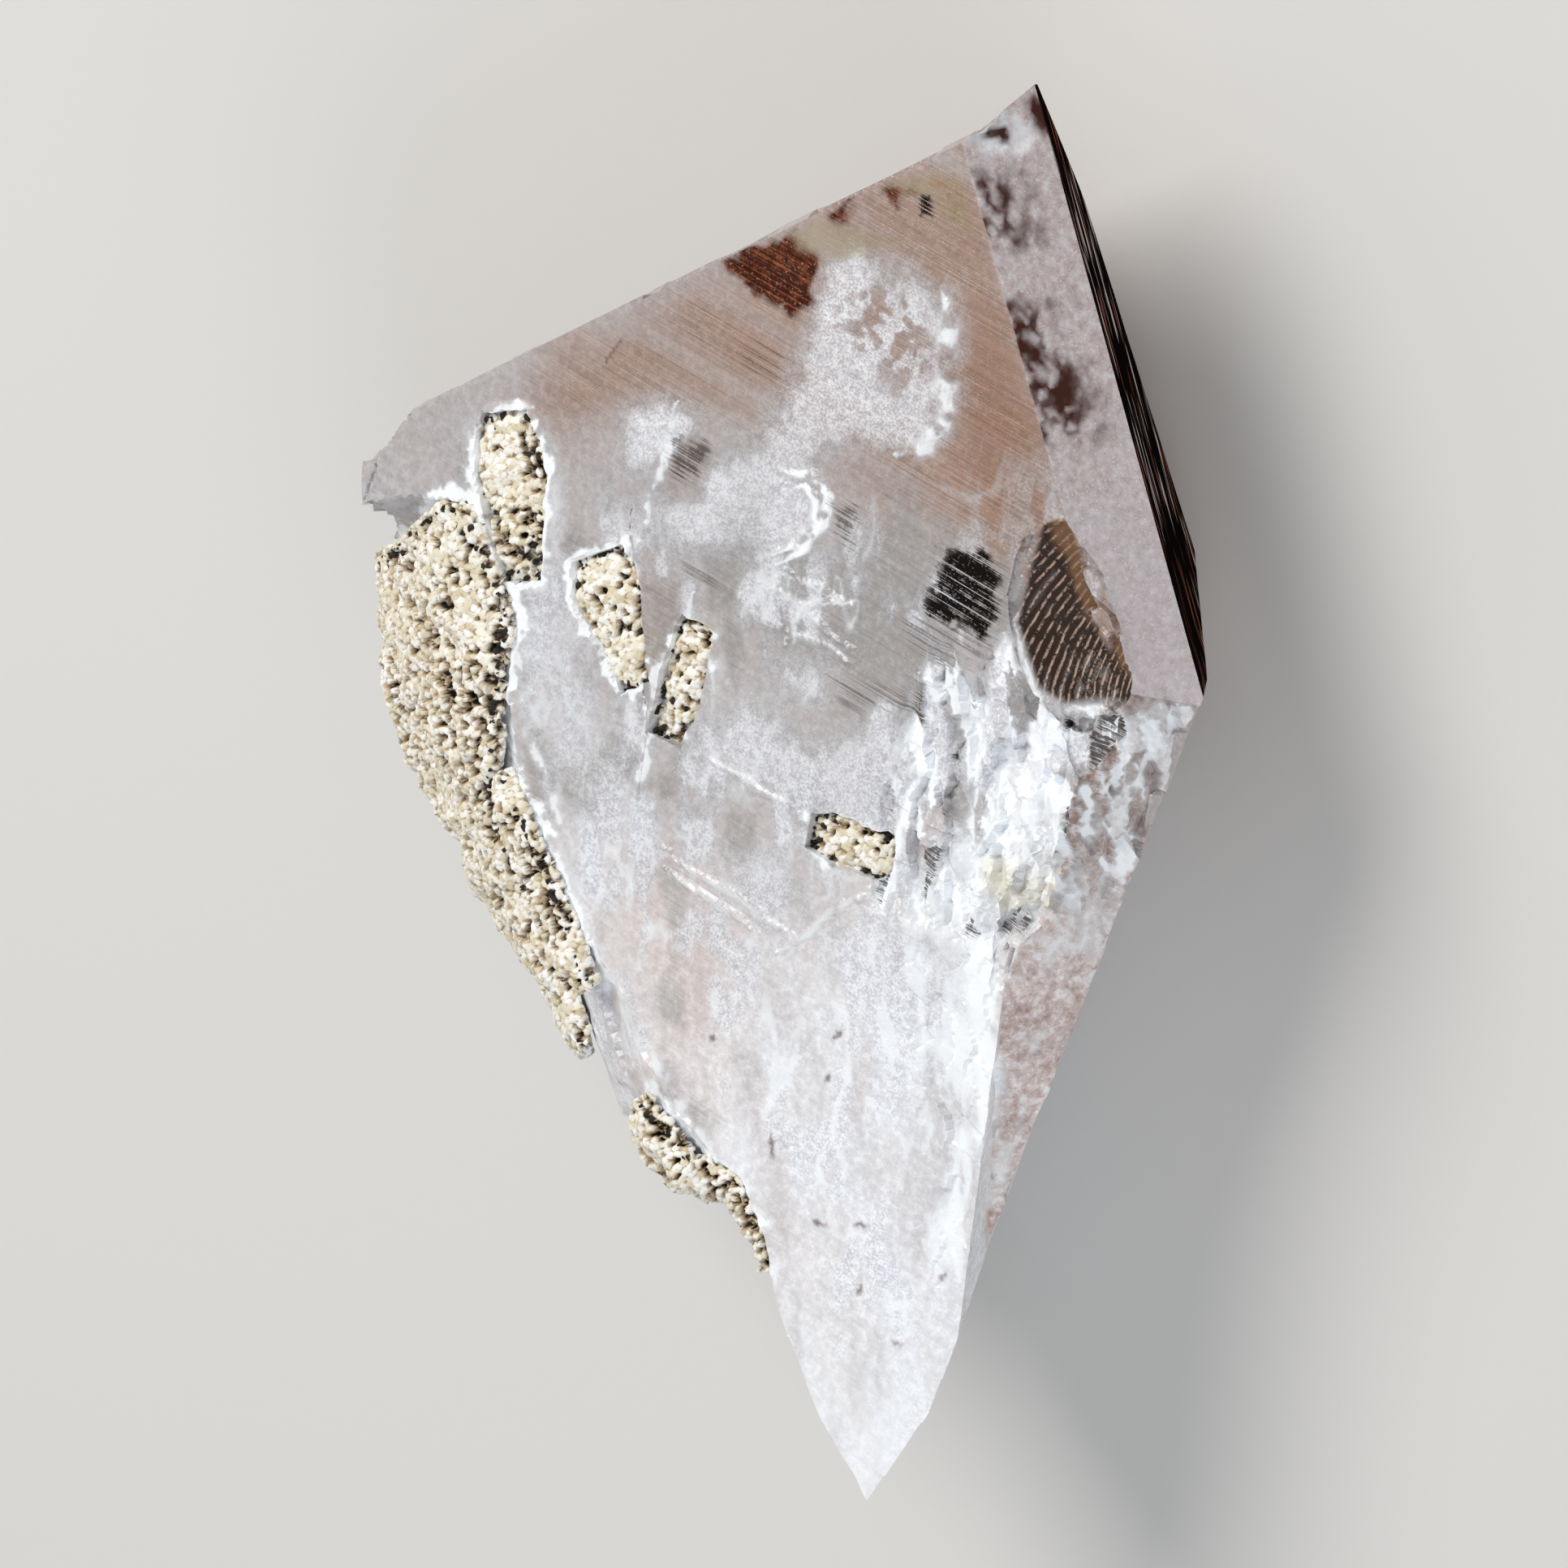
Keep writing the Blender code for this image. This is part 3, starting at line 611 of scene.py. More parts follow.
def read_marks(paint):
    """What the mesh's attributes say at each point, and the noises that the colours share."""

    def channels(name):
        color = paint.node("ShaderNodeAttribute", {"attribute_name": name}, out="Color")
        apart = paint.node("ShaderNodeSeparateColor", None, color)
        parts = [Wire(paint, item) for item in apart.socket.node.outputs]
        return parts + [Wire(paint, color.socket.node.outputs["Alpha"])]

    marks = SimpleNamespace(place=paint.place_mm())
    marks.front, marks.tip, marks.night, marks.side = channels("faces")
    marks.cloud, marks.bright, marks.stain, marks.window = channels("marks")
    marks.tan, marks.orange, marks.beige, marks.clear = channels("tones")
    marks.shell, marks.broken, marks.yellow, marks.white = channels("breaks")
    marks.fine = paint.noise(marks.place, 1.8, 3.0, 0.75)
    marks.hairs = paint.noise(marks.place, 1.0, 2.0, 0.8, stretch=(14.0, 0.10, 3.0))
    marks.grains = paint.noise(marks.place, 6.5, 1.0, 0.6)
    marks.contrast = paint.fade(marks.fine, 0.30, 0.70)
    marks.vein = paint.fade(marks.fine, 0.52, 0.66)
    marks.glint = paint.fade(marks.grains, 0.62, 0.72)
    ragged = marks.window * 0.95 + (0.5 - marks.hairs) * 2.4 + (marks.fine - 0.5) * 1.2
    comb = paint.fade(ragged, 0.55, 0.85)
    marks.comb = comb * paint.fade(marks.window, 0.05, 0.35) * (marks.window * 0.8 + 0.2)
    return marks


def front_color(paint, marks):
    """The front face: pale, tan towards the tip and milky towards the root."""
    fine, hairs, tan, contrast = marks.fine, marks.hairs, marks.tan, marks.contrast
    color = paint.blend(marks.white, PALE_PINK, MILK)
    color = paint.blend(tan, color, TAN)
    color = paint.blend(marks.orange * (contrast * 0.3 + 0.6), color, ORANGE_BROWN)
    color = paint.blend(marks.beige * 0.8, color, BEIGE)
    streaky = (tan * 0.8 + 0.16 + marks.beige * 0.35) * (hairs - 0.5)
    color = paint.shade(color, streaky * 1.25 + fine * 0.75 + 0.60)
    flecks = paint.fade(hairs * 0.55 + fine * 0.75, 0.76, 0.88) * tan * 0.55
    color = paint.blend(flecks, color, FLECK_BROWN)
    veined = marks.vein * (marks.white * 0.45 + marks.broken * 0.6 + 0.12)
    color = paint.blend(veined, color, CLEAR_WHITE)
    crackle = paint.fade(fine * 0.5 + marks.grains * 0.5, 0.36, 0.62)
    fluff = paint.blend(crackle, CLOUD_GREY, CLEAR_WHITE)
    color = paint.blend(marks.cloud * (crackle * 0.3 + 0.7), color, fluff)
    straw = paint.blend(tan * (contrast * 0.5 + 0.5), STRAW, OCHRE)
    color = paint.blend(marks.yellow * (contrast * 0.5 + 0.3), color, straw)
    rust = paint.blend(paint.fade(hairs * 0.7 + fine * 0.5, 0.55, 0.80), RED_BROWN, RUST)
    color = paint.blend(marks.stain, color, rust)
    color = paint.blend(marks.bright, color, CLEAR_WHITE)
    color = paint.blend(marks.yellow * 0.5, color, straw)
    # The windows: brown comb edges, and painted shade near black within.
    return paint.blend(marks.comb, color, paint.blend(marks.window, COMB_BROWN, SEE_THROUGH_SHADE))


def shell_color(paint, marks):
    """The shell-like chip, painted light and shade: pale arcs where its ripples catch the light, and
    near-black shade of the clear stone between them.
    """
    flat = paint.node("ShaderNodeVectorMath", {"operation": "MULTIPLY"}, marks.place, (1.0, 1.0, 0.0))
    radius = paint.node("ShaderNodeVectorMath", {"operation": "DISTANCE"}, flat, (*SHELL_CENTRE, 0.0),
                        out="Value")
    arcs = (radius * (2.0 * math.pi / SHELL_PITCH) + marks.fine * 3.0).math("SINE")
    arcs = paint.fade(arcs, 0.30, 1.0) * paint.fade(marks.fine, 0.40, 0.56)
    color = paint.blend(arcs * 0.85, SHELL_SEE_THROUGH_SHADE, SHELL_LIT_ARCS)
    # On the orange ridge the same arcs are painted lit and shaded, over its own orange-brown.
    return paint.blend(marks.orange, color, paint.blend(arcs, RIDGE_DARK, RIDGE_PALE))


def tip_color(paint, marks):
    """The frosted tip face."""
    frost = paint.ramp(marks.fine, FROST)
    frost = paint.blend(marks.white * 0.75, frost, FROST_GREY)
    frost = paint.blend(marks.glint * 0.8, frost, FROST_GLINT)
    frost = paint.blend(marks.bright, frost, CLEAR_WHITE)
    return paint.blend(marks.stain, frost, FROST_STAIN)


def flank_color(paint, marks):
    """The prism face at the right."""
    flank = paint.ramp(marks.fine, FLANK)
    flank = paint.blend(marks.tan * 0.75, flank, paint.blend(marks.contrast, FLANK_BROWN, FLANK_TAN))
    flank = paint.blend(marks.vein * 0.25 + marks.cloud * 0.6, flank, CLEAR_WHITE)
    return paint.blend(marks.bright, flank, CLEAR_WHITE)


def night_color(paint, marks):
    """The dark tip face: painted shade, near black, with its own brown and pale lines."""

    def along(direction):
        return paint.node("ShaderNodeVectorMath", {"operation": "DOT_PRODUCT"}, marks.place, direction,
                          out="Value")

    across = paint.node("ShaderNodeCombineXYZ", None, along(face_normal(*TIP_FACE)) * 2.2,
                        along(DARK_LINES) * 0.10, 0.0)
    steps = paint.noise(across, 1.0, 2.0, 0.8)
    color = paint.blend(paint.fade(steps, 0.42, 0.34), SHADE_BLACK, SHADED_LINE_BROWN)
    return paint.blend(paint.fade(steps, 0.60, 0.64) * marks.night, color, SHADED_LINE_PALE)


def quartz_finish():
    """Clear quartz and milky quartz, mixed by what the mesh's attributes say."""
    paint = Paint("smoky_quartz")
    marks = read_marks(paint)
    color = front_color(paint, marks)
    color = paint.blend(marks.shell, color, shell_color(paint, marks))
    color = paint.blend(marks.glint * marks.front * 0.18, color, GLINT)
    color = paint.blend(marks.tip, color, tip_color(paint, marks))
    color = paint.blend(marks.side, color, flank_color(paint, marks))

    height = (marks.fine - 0.5) * (0.04 - marks.tip * 0.032)
    height = height + (marks.hairs - 0.5) * (0.012 + marks.tan * 0.03)
    bump = paint.node("ShaderNodeBump", None, Strength=0.7, Distance=MM, Height=height)
    rough = marks.contrast * 0.12 + 0.08 + marks.tip * 0.18 + marks.cloud * 0.12
    glass = paint.node("ShaderNodeBsdfPrincipled", None, Base_Color=(1.0, 1.0, 1.0), Roughness=rough,
                       IOR=QUARTZ_IOR, Transmission_Weight=1.0, Normal=bump)
    milk = paint.node("ShaderNodeBsdfPrincipled", None, Base_Color=color, Roughness=rough + 0.10,
                      IOR=QUARTZ_IOR, Normal=bump)
    milkiness = (1.0 - marks.clear * 0.45 + marks.tip * 0.25).most(marks.cloud * 0.9)
    milkiness = milkiness.most(marks.bright).most(marks.stain * 0.9).most(marks.comb * 0.85)
    surface = paint.node("ShaderNodeMixShader", None, milkiness, glass, milk)
    # Painted shade: the dark tip face takes its near-black colour here, in a matt shader without reflection,
    # shared with the stains, the windows' comb edges and the chip.
    dark_color = paint.blend(marks.night, color, night_color(paint, marks))
    dark = paint.node("ShaderNodeBsdfPrincipled", None, Base_Color=dark_color, Roughness=0.5,
                      Specular_IOR_Level=0.0, Normal=bump)
    matt = marks.night.most(marks.comb).most(marks.stain * 0.85).most(marks.shell * 0.6)
    surface = paint.node("ShaderNodeMixShader", None, matt, surface, dark)
    smoke = paint.node("ShaderNodeVolumeAbsorption", None, SMOKE, SMOKE_DENSITY)
    finish(paint, surface, smoke)
    return paint.material


# ---- The crystal's mesh ----

FRONT_CELL = 0.22  # how far apart the fine mesh's points lie, in mm
FACET_CELL = 0.30
CHIP_CELL = 0.18
UNDER_CELL = 1.6
REST_DEPTH = 1.2  # the lowest part keeps its shape, to rest as the solid does
SHELL_RIPPLE = 0.07
SHARD_DEPTH = 0.55
RIM_HEIGHT = 0.12
GROOVE_DEPTH = 0.03
CRUST_RIM = 1.15  # how far the white rim reaches from a crust
# Where splinters may lie: the lowest x and y, then the size in x and y.
BREAK_AREA = ((4.0, -6.0), (28.0, 32.0))
FLAKE_AREA = ((8.0, -34.0), (26.0, 60.0))
PLATE_AREA = ((-30.0, -46.0), (62.0, 84.0))
FACET_AREA = ((-40.0, -40.0), (60.0, 70.0))


def copy_of(node, name):
    """A piece that starts as a CAD node's mesh, with its doubles merged."""
    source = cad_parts[node]
    piece = bpy.data.objects.new(name, source.data.copy())
    bpy.context.scene.collection.objects.link(piece)
    bm = bmesh.new()
    bm.from_mesh(piece.data)
    bmesh.ops.remove_doubles(bm, verts=bm.verts, dist=0.002 * MM)
    bm.to_mesh(piece.data)
    bm.free()
    piece.data.materials.clear()
    return piece


def keep(piece, slot, *nodes):
    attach(piece, "root")
    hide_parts(*nodes)


def points_of(mesh):
    flat = np.empty(len(mesh.vertices) * 3)
    mesh.vertices.foreach_get("co", flat)
    return flat.reshape(-1, 3) / MM


def set_points(mesh, points):
    mesh.vertices.foreach_set("co", (points * MM).ravel())
    mesh.update()


def vertex_normals(mesh):
    flat = np.empty(len(mesh.vertices) * 3)
    mesh.vertex_normals.foreach_get("vector", flat)
    return flat.reshape(-1, 3)


def set_channels(mesh, name, domain, *channels):
    """Stores up to four numbers for each point or face, as a colour attribute."""
    columns = list(channels) + [np.zeros(len(channels[0]))] * (4 - len(channels))
    layer = mesh.attributes.new(name, "FLOAT_COLOR", domain)
    layer.data.foreach_set("color", np.clip(np.column_stack(columns), 0.0, 1.0).ravel())


def as_shown(points):
    """The points in x and y, as they show on the front face's plane along the view."""
    back = VIEW_BACK.normalized()
    sunk = np.clip(FRONT - points[:, 2], 0.0, 7.0)
    shown = points.copy()
    shown[:, 0] += sunk * back.x / back.z
    shown[:, 1] += sunk * back.y / back.z
    return shown


def face_cell(face):
    """How far apart a face's new points lie."""
    x, y, _ = face.calc_center_median() / MM
    low, high = np.min(SHELL_CHIP, axis=0), np.max(SHELL_CHIP, axis=0)
    if face.normal.z < 0.2:
        return UNDER_CELL
    if face.normal.z > 0.97:
        return FRONT_CELL
    small = face.calc_area() < 9.0 * MM * MM
    if small and low[0] - 2.0 < x < high[0] and low[1] - 2.0 < y < high[1]:
        return CHIP_CELL
    return FACET_CELL


def spread(outline, cell, chance):
    """Points in staggered rows inside a flat outline, about a cell apart."""
    low, high = outline.min(axis=0), outline.max(axis=0)
    rows = np.arange(low[1], high[1], 0.87 * cell)
    columns = np.arange(low[0] - cell, high[0], cell)
    across, along = np.meshgrid(columns, rows)
    across[1::2] += 0.5 * cell
    grid = np.column_stack([across.ravel(), along.ravel()])
    grid += chance.uniform(-0.12, 0.12, (across.size, 2)) * cell
    return grid[depth_inside(grid, [tuple(spot) for spot in outline]) > 0.45 * cell]


def refine(mesh):
    """Cuts each flat face into small, even triangles."""
    chance = np.random.default_rng(8)
    bm = bmesh.new()
    bm.from_mesh(mesh)
    bmesh.ops.dissolve_limit(bm, angle_limit=math.radians(1.0), verts=bm.verts, edges=bm.edges)
    bm.normal_update()
    for edge in bm.edges[:]:
        cell = min(face_cell(face) for face in edge.link_faces) * MM
        end = edge.verts[1]
        for left in range(math.ceil(edge.calc_length() / cell), 1, -1):
            end = bmesh.utils.edge_split(edge, end, 1.0 / left)[1]
    for face in bm.faces[:]:
        corner = face.verts[0].co.copy()
        side = face.normal.orthogonal().normalized()
        up = face.normal.cross(side)
        reach = [vert.co - corner for vert in face.verts]
        outline = np.array([(away.dot(side), away.dot(up)) for away in reach]) / MM
        inner = spread(outline, face_cell(face), chance)
        flat = [Vector(spot) for spot in np.vstack([outline, inner])]
        count = len(outline)
        found = geometry.delaunay_2d_cdt(flat, [], [list(range(count))], 1, 1e-5)
        verts = []
        for spot, origin in zip(found[0], found[3]):
            if origin and origin[0] < count:
                verts.append(face.verts[origin[0]])
            else:
                verts.append(bm.verts.new(corner + (side * spot.x + up * spot.y) * MM))
        triangles = [[verts[index] for index in triangle] for triangle in found[2]]
        bm.faces.remove(face)
        for triangle in triangles:
            bm.faces.new(triangle)
    bm.normal_update()
    bm.to_mesh(mesh)
    bm.free()


def mark_faces(mesh):
    """Stores which crystal face each facet belongs to."""
    flat = np.empty(len(mesh.polygons) * 3)
    mesh.polygons.foreach_get("normal", flat)
    normals = flat.reshape(-1, 3)

    def facing(face, low, high):
        return smooth(normals @ np.array(face_normal(*face)), low, high)

    front = smooth(normals[:, 2], 0.90, 0.97)
    tip = facing(TIP_FACE, 0.96, 0.985)
    side = facing(SIDE_FACE, 0.96, 0.985)
    # The third channel marks the dark tip face, which is painted in shade.
    set_channels(mesh, "faces", "FACE", front, tip, facing(SHADED_TIP_FACE, 0.96, 0.985), side)
    touching = np.zeros((3, len(mesh.vertices)))
    corners = np.empty(len(mesh.loops), int)
    mesh.loops.foreach_get("vertex_index", corners)
    for row, mask in zip(touching, (front, tip, side)):
        np.maximum.at(row, corners, np.repeat(mask, 3))
    return touching


def crust_distance(points):
    """How far each point lies from the nearest crust."""
    corners = []
    faces = []
    for name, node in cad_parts.items():
        if name.startswith("crust_"):
            start = len(corners)
            corners += [tuple(corner.co) for corner in node.data.vertices]
            faces += [[start + index for index in face.vertices] for face in node.data.polygons]
    tree = bvhtree.BVHTree.FromPolygons(corners, faces)
    return np.array([tree.find_nearest(spot)[3] for spot in points * MM]) / MM


def shared_patterns(points, normals, front, tip, side):
    """Where the points show, and the noises and masks that the crystal's marks share."""
    shown = as_shown(points)
    marks = SimpleNamespace(points=points, normals=normals, front=front, tip=tip, side=side, shown=shown)
    marks.ragged = drifted(shown, 1.4, 0.6, 43)
    marks.crisp = drifted(shown, 0.8, 0.25, 47)
    marks.puffs = layered(shown, (3.2, 3.2, 3.2), 4, 50)
    marks.fine = layered(shown, (0.8, 0.8, 0.8), 3, 51)
    marks.coarse = layered(shown, (7.0, 7.0, 7.0), 3, 52)
    marks.wisps = layered(turned(shown, UPRIGHT), (1.3, 4.0, 1.5), 4, 53)
    marks.folds = layered(turned(shown, UPRIGHT), (2.4, 7.0, 2.6), 3, 71)
    marks.gaps = smooth(marks.wisps, 0.58, 0.30)
    marks.up = smooth(normals[:, 2], 0.15, 0.4)
    marks.raised = smooth(points[:, 2], 5.0, 10.0)
    marks.seen = marks.up * marks.raised * (1.0 - tip)
    marks.hidden = (1.0 - marks.up) * (1.0 - tip)
    marks.along = points[:, 1] + (marks.coarse - 0.5) * 30.0
    marks.height = shown[:, 1] * 0.916 - shown[:, 0] * 0.402
    marks.into_white = depth_inside(shown, LOWER_WHITE) + (marks.coarse - 0.5) * 8.0
    marks.low_white = smooth(marks.into_white, -2.0, 3.0)
    return marks


def find_breaks(marks):
    """The chip, the fracture zone, the white band and the splinters in them."""
    shown, seen = marks.shown, marks.seen
    into_chip = depth_inside(shown, SHELL_CHIP)
    chip = smooth(into_chip, -0.15, 0.35) * seen
    level = smooth(marks.normals[:, 2], 0.985, 0.999) * marks.front
    marks.chip = chip * (1.0 - level * smooth(into_chip, 1.2, 0.4))
    broad_seen = np.maximum(seen, marks.side * marks.raised)
    broken = billows(shown, [FRACTURE_ZONE], marks.wisps, 2.4, 0.7) * broad_seen
    marks.broken = broken * (1.0 - smooth(into_chip, -1.0, -0.2))
    marks.band = billows(shown, [WHITE_BAND], marks.fine, 1.2, 0.4) * broad_seen
    fan = billows(shown, [WHITE_FAN], marks.wisps, 4.0, 1.0) * seen
    marks.fan = np.maximum(fan, marks.band)
    marks.shards, marks.tone = splinters(shown, marks.broken, 260, BREAK_AREA, UPRIGHT, 2.7, 21)
    slivers = splinters(shown, marks.broken, 900, BREAK_AREA, UPRIGHT + 14.0, 2.2, 25)
    marks.slivers, marks.sliver_tone = slivers
    flaky = np.maximum(marks.fan, marks.side)
    marks.flakes, _ = splinters(shown, flaky, 500, FLAKE_AREA, UPRIGHT, 1.5, 22)
    _, marks.plate_tone = splinters(shown, seen, 420, PLATE_AREA, UPRIGHT, 3.4, 31)
    midst = smooth(marks.height + (marks.coarse - 0.5) * 10.0, 22.0, 12.0) * seen
    marks.midst = midst * (1.0 - marks.chip) * (1.0 - marks.broken)


def find_clouds(marks):
    """The milky clouds, veils and wisps."""
    shown, fine, puffs, wisps = marks.shown, marks.fine, marks.puffs, marks.wisps
    veils = smooth(wisps * 0.5 + puffs * 0.5, 0.48, 0.60)
    cloud = billows(shown, [MAIN_CLOUD], puffs * 0.7 + fine * 0.3, 5.0, 1.5) * (0.72 + 0.4 * puffs)
    cloud = np.maximum(cloud, billows(shown, [SMALL_CLOUD], puffs, 3.0, 1.2))
    cloud = most(
        cloud * 0.95,
        0.9 * billows(shown, BAND_CLOUDS, wisps, 7.0, 1.8),
        0.8 * billows(shown, [LEFT_WHITE, WHITE_CORE], wisps, 8.0, 2.0),
        0.9 * veils * marks.midst,
        0.9 * billows(shown, [LOBE], puffs, 2.0, 0.8),
        marks.broken * smooth(wisps * 0.35 + marks.tone * 0.65, 0.22, 0.52),
    ) * marks.seen
    holes = 0.85 * patches(marks.ragged, [CLOUD_HOLES], 1.4) * smooth(fine, 0.46, 0.56)
    clear = patches(marks.ragged, GREY_GAPS + SMOKY_LENSES, 0.6)
    marks.cloud = cloud * (1.0 - holes) * (1.0 - clear) * (1.0 - marks.chip)


def find_bright(marks):
    """The healed rims, strands, growth lines and shards that show as bright white."""
    shown, fine, wisps = marks.shown, marks.fine, marks.wisps
    lines = [  # where, paths, width, how bright, and the noise it needs
        (marks.ragged, [CLOUD_RIM], 0.70, 0.9, 0.30, 0.60),
        (marks.crisp, LOBE_RIMS, 0.34, 1.0, 0.20, 0.40),
        (marks.ragged, [UPPER_STRAND, MIDDLE_STRAND], 0.42, 0.9, 0.35, 0.55),
        (marks.ragged, [LEFT_EDGE], 0.38, 0.9, 0.42, 0.62),
        (marks.crisp, GROWTH_LINES + PLATE_EDGES, 0.18, 0.85, 0.30, 0.50),
        (marks.crisp, SHARDS, 0.42, 1.0, 0.20, 0.40),
    ]
    threads = smooth(1.0 - np.abs(2.0 * marks.folds - 1.0), 0.94, 0.98) * smooth(marks.puffs, 0.42, 0.56)
    bright = most(
        *(share * strands(where, paths, width) * smooth(fine, low, high)
          for where, paths, width, share, low, high in lines),
        0.85 * billows(shown, [WHITE_CORE], wisps, 4.0, 1.2),
        marks.broken * smooth(marks.sliver_tone + (wisps - 0.5), 0.60, 0.75),
        0.75 * smooth(marks.plate_tone, 0.84, 0.94) * smooth(wisps, 0.35, 0.55) * marks.low_white,
        0.9 * marks.fan * smooth(wisps, 0.35, 0.50),
        0.75 * threads * marks.midst,
        0.6 * smooth(marks.height, -25.0, -38.0),
    )
    crust = crust_distance(marks.points) + (fine - 0.5) * 2.0
    marks.white_rim = smooth(crust, CRUST_RIM, CRUST_RIM - 0.35) * (1.0 - marks.tip)
    bright = most(bright * marks.seen, marks.band, marks.white_rim) * (1.0 - marks.chip)
    apex = marks.tip * billows(marks.points, [APEX_CHIP], fine, 1.6, 0.5) * smooth(fine, 0.3, 0.5)
    marks.bright = np.maximum(bright, apex)


def find_stains(marks):
    """Rusty stains, gold specks, short dashes, and the mottles of the tip face."""
    shown, points, fine, tip = marks.shown, marks.points, marks.fine, marks.tip
    stain = billows(shown, RED_STAINS, fine, 1.6, 0.35)
    stain = np.maximum(stain, 0.6 * patches(marks.ragged, GOLD_SPECKS, 0.3) * smooth(fine, 0.58, 0.64))
    for x, y, half_length, half_width, degrees in DASHES:
        local = turned(shown - np.array([x, y, 0.0]), degrees)
        away = np.hypot(local[:, 0] / half_length, local[:, 1] / (half_width + 0.08))
        stain = np.maximum(stain, 0.7 * smooth(away, 1.1, 0.6))
    mottles = billows(points, TIP_MOTTLES, marks.puffs * 0.5 + fine * 0.5, 3.0, 0.8)
    mottles = mottles * smooth(fine, 0.30, 0.60)
    apex = billows(points, APEX_STAINS, fine, 1.0, 0.2)
    marks.stain = np.maximum(stain * marks.seen, tip * np.maximum(mottles, apex))


def find_windows(marks):
    """Dark windows, where the clear stone shows its depth, painted near black as shade."""
    shown, fine = marks.shown, marks.fine
    marks.window = most(
        billows(shown, WINDOWS[:1], fine, 2.4, 0.7),
        0.80 * billows(shown, WINDOWS[1:], fine, 2.4, 0.7),
        0.62 * patches(marks.ragged, FAINT_WINDOWS, 0.9),
        patches(marks.ragged, DARK_GAPS, 0.4),
        0.85 * marks.broken * smooth(marks.tone, 0.15, 0.07),
    ) * marks.seen * (1.0 - marks.chip)


def find_tones(marks):
    """How tan, orange, beige, clear, yellow and milky the stone is."""
    shown, fine, puffs, seen = marks.shown, marks.fine, marks.puffs, marks.seen
    bands = layered(marks.points, (30.0, 1.9, 30.0), 3, 61)
    lenses = billows(shown, SMOKY_LENSES, fine, 1.6, 0.5) * seen
    marks.tan = most(
        billows(shown, [TAN_ZONE], puffs, 4.0, 3.0) * seen * np.clip(0.10 + 1.8 * bands, 0.3, 1.0),
        0.27 * billows(shown, PINK_GAPS, puffs, 5.0, 1.6) * seen,
        marks.side * smooth(marks.coarse * 0.5 + marks.wisps * 0.5, 0.44, 0.60),
        0.7 * marks.hidden * smooth(marks.along, 5.0, 35.0),
        0.55 * lenses,
    )
    ridge = smooth(path_distance(shown, SHELL_RIDGE) + (fine - 0.5), 1.5, 0.7)
    orange = billows(shown, [ORANGE_ZONE], puffs, 3.0, 1.6) * seen
    marks.orange = np.where(marks.chip > 0.3, ridge, np.maximum(orange, 0.8 * ridge * seen))
    smoky = smooth(marks.folds * 0.5 + puffs * 0.5, 0.48, 0.36)
    marks.beige = most(
        billows(shown, [BEIGE_ZONE], puffs, 3.0, 1.2) * seen,
        0.75 * lenses,
        0.9 * marks.broken * smooth(marks.tone, 0.42, 0.18),
        smoky * marks.midst * (1.0 - 0.75 * marks.low_white),
    )
    specks = 0.8 * patches(marks.ragged, GOLD_SPECKS, 0.4)
    marks.yellow = np.maximum(billows(shown, YELLOW_STAINS, puffs, 2.0, 0.8), specks) * seen
    left = 0.9 * billows(shown, [LEFT_WHITE], puffs, 4.0, 1.5)
    white = np.maximum(smooth(marks.into_white, -6.0, 4.0), left)
    white = white * (1.0 - marks.tip) * (1.0 - 0.4 * marks.gaps)
    frosted = marks.tip * smooth(marks.points[:, 0] + (puffs - 0.5) * 8.0, 10.0, 21.0)
    white = np.maximum(white, frosted)
    clear = smooth(marks.height + (marks.coarse - 0.5) * 14.0, -22.0, 12.0)
    marks.clear = np.maximum(clear, 0.5 * marks.gaps) * (1.0 - 0.6 * white * (1.0 - marks.tip))
    white = white * (0.50 + 0.50 * smooth(marks.plate_tone, 0.15, 0.55))
    marks.white = np.maximum(white, marks.hidden * smooth(marks.along, 20.0, -25.0))


def find_relief(marks):
    """How deep each point sinks along its normal, and how far it sinks straight down."""
    points, fine = marks.points, marks.fine
    front, tip, side = marks.front, marks.tip, marks.side
    lower = 0.9 * np.clip(points[:, 2] - FRONT, -0.6, 0.6) * front
    lower = lower * (1.0 - marks.chip) * (1.0 - marks.broken)
    grooves = smooth(layered(points, (14.0, 1.3, 6.0), 2, 11), 0.50, 0.80)
    rims = strands(marks.ragged, [CLOUD_RIM, *LOBE_RIMS, UPPER_STRAND, MIDDLE_STRAND], 0.35)
    depth = GROOVE_DEPTH * grooves * front * marks.tan
    depth += 0.10 * (layered(points, (3.0, 3.0, 3.0), 3, 13) - 0.4) * (1.0 - tip)
    depth += 0.14 * (fine - 0.5) * marks.cloud
    depth -= RIM_HEIGHT * rims * marks.seen
    depth -= 0.10 * strands(marks.ragged, PLATE_EDGES + GROWTH_LINES, 0.22) * front
    depth -= 0.40 * marks.white_rim * (fine - 0.35) * marks.up
    arc = np.linalg.norm(points[:, :2] - np.array(SHELL_CENTRE), axis=1) / (2.0 * SHELL_PITCH)
    depth += SHELL_RIPPLE * (0.5 + 0.5 * np.sin(2.0 * np.pi * arc)) * marks.chip
    depth += (SHARD_DEPTH * marks.shards + 0.25 * marks.slivers) * marks.broken
    depth += 0.40 * marks.flakes * marks.fan + 0.16 * marks.flakes * side * (1.0 - marks.broken)
    depth += 0.30 * patches(points, [APEX_CHIP], 0.2) * tip
    rough = marks.up * (1.0 - front) * (1.0 - tip) * (1.0 - side)
    rough = rough * (1.0 - marks.chip) * (1.0 - marks.broken)
    facets, _ = splinters(points, rough, 260, FACET_AREA, 40.0, 1.4, 24)
    depth += 0.30 * facets * rough
    return depth * smooth(points[:, 2], REST_DEPTH, REST_DEPTH + 2.0), lower


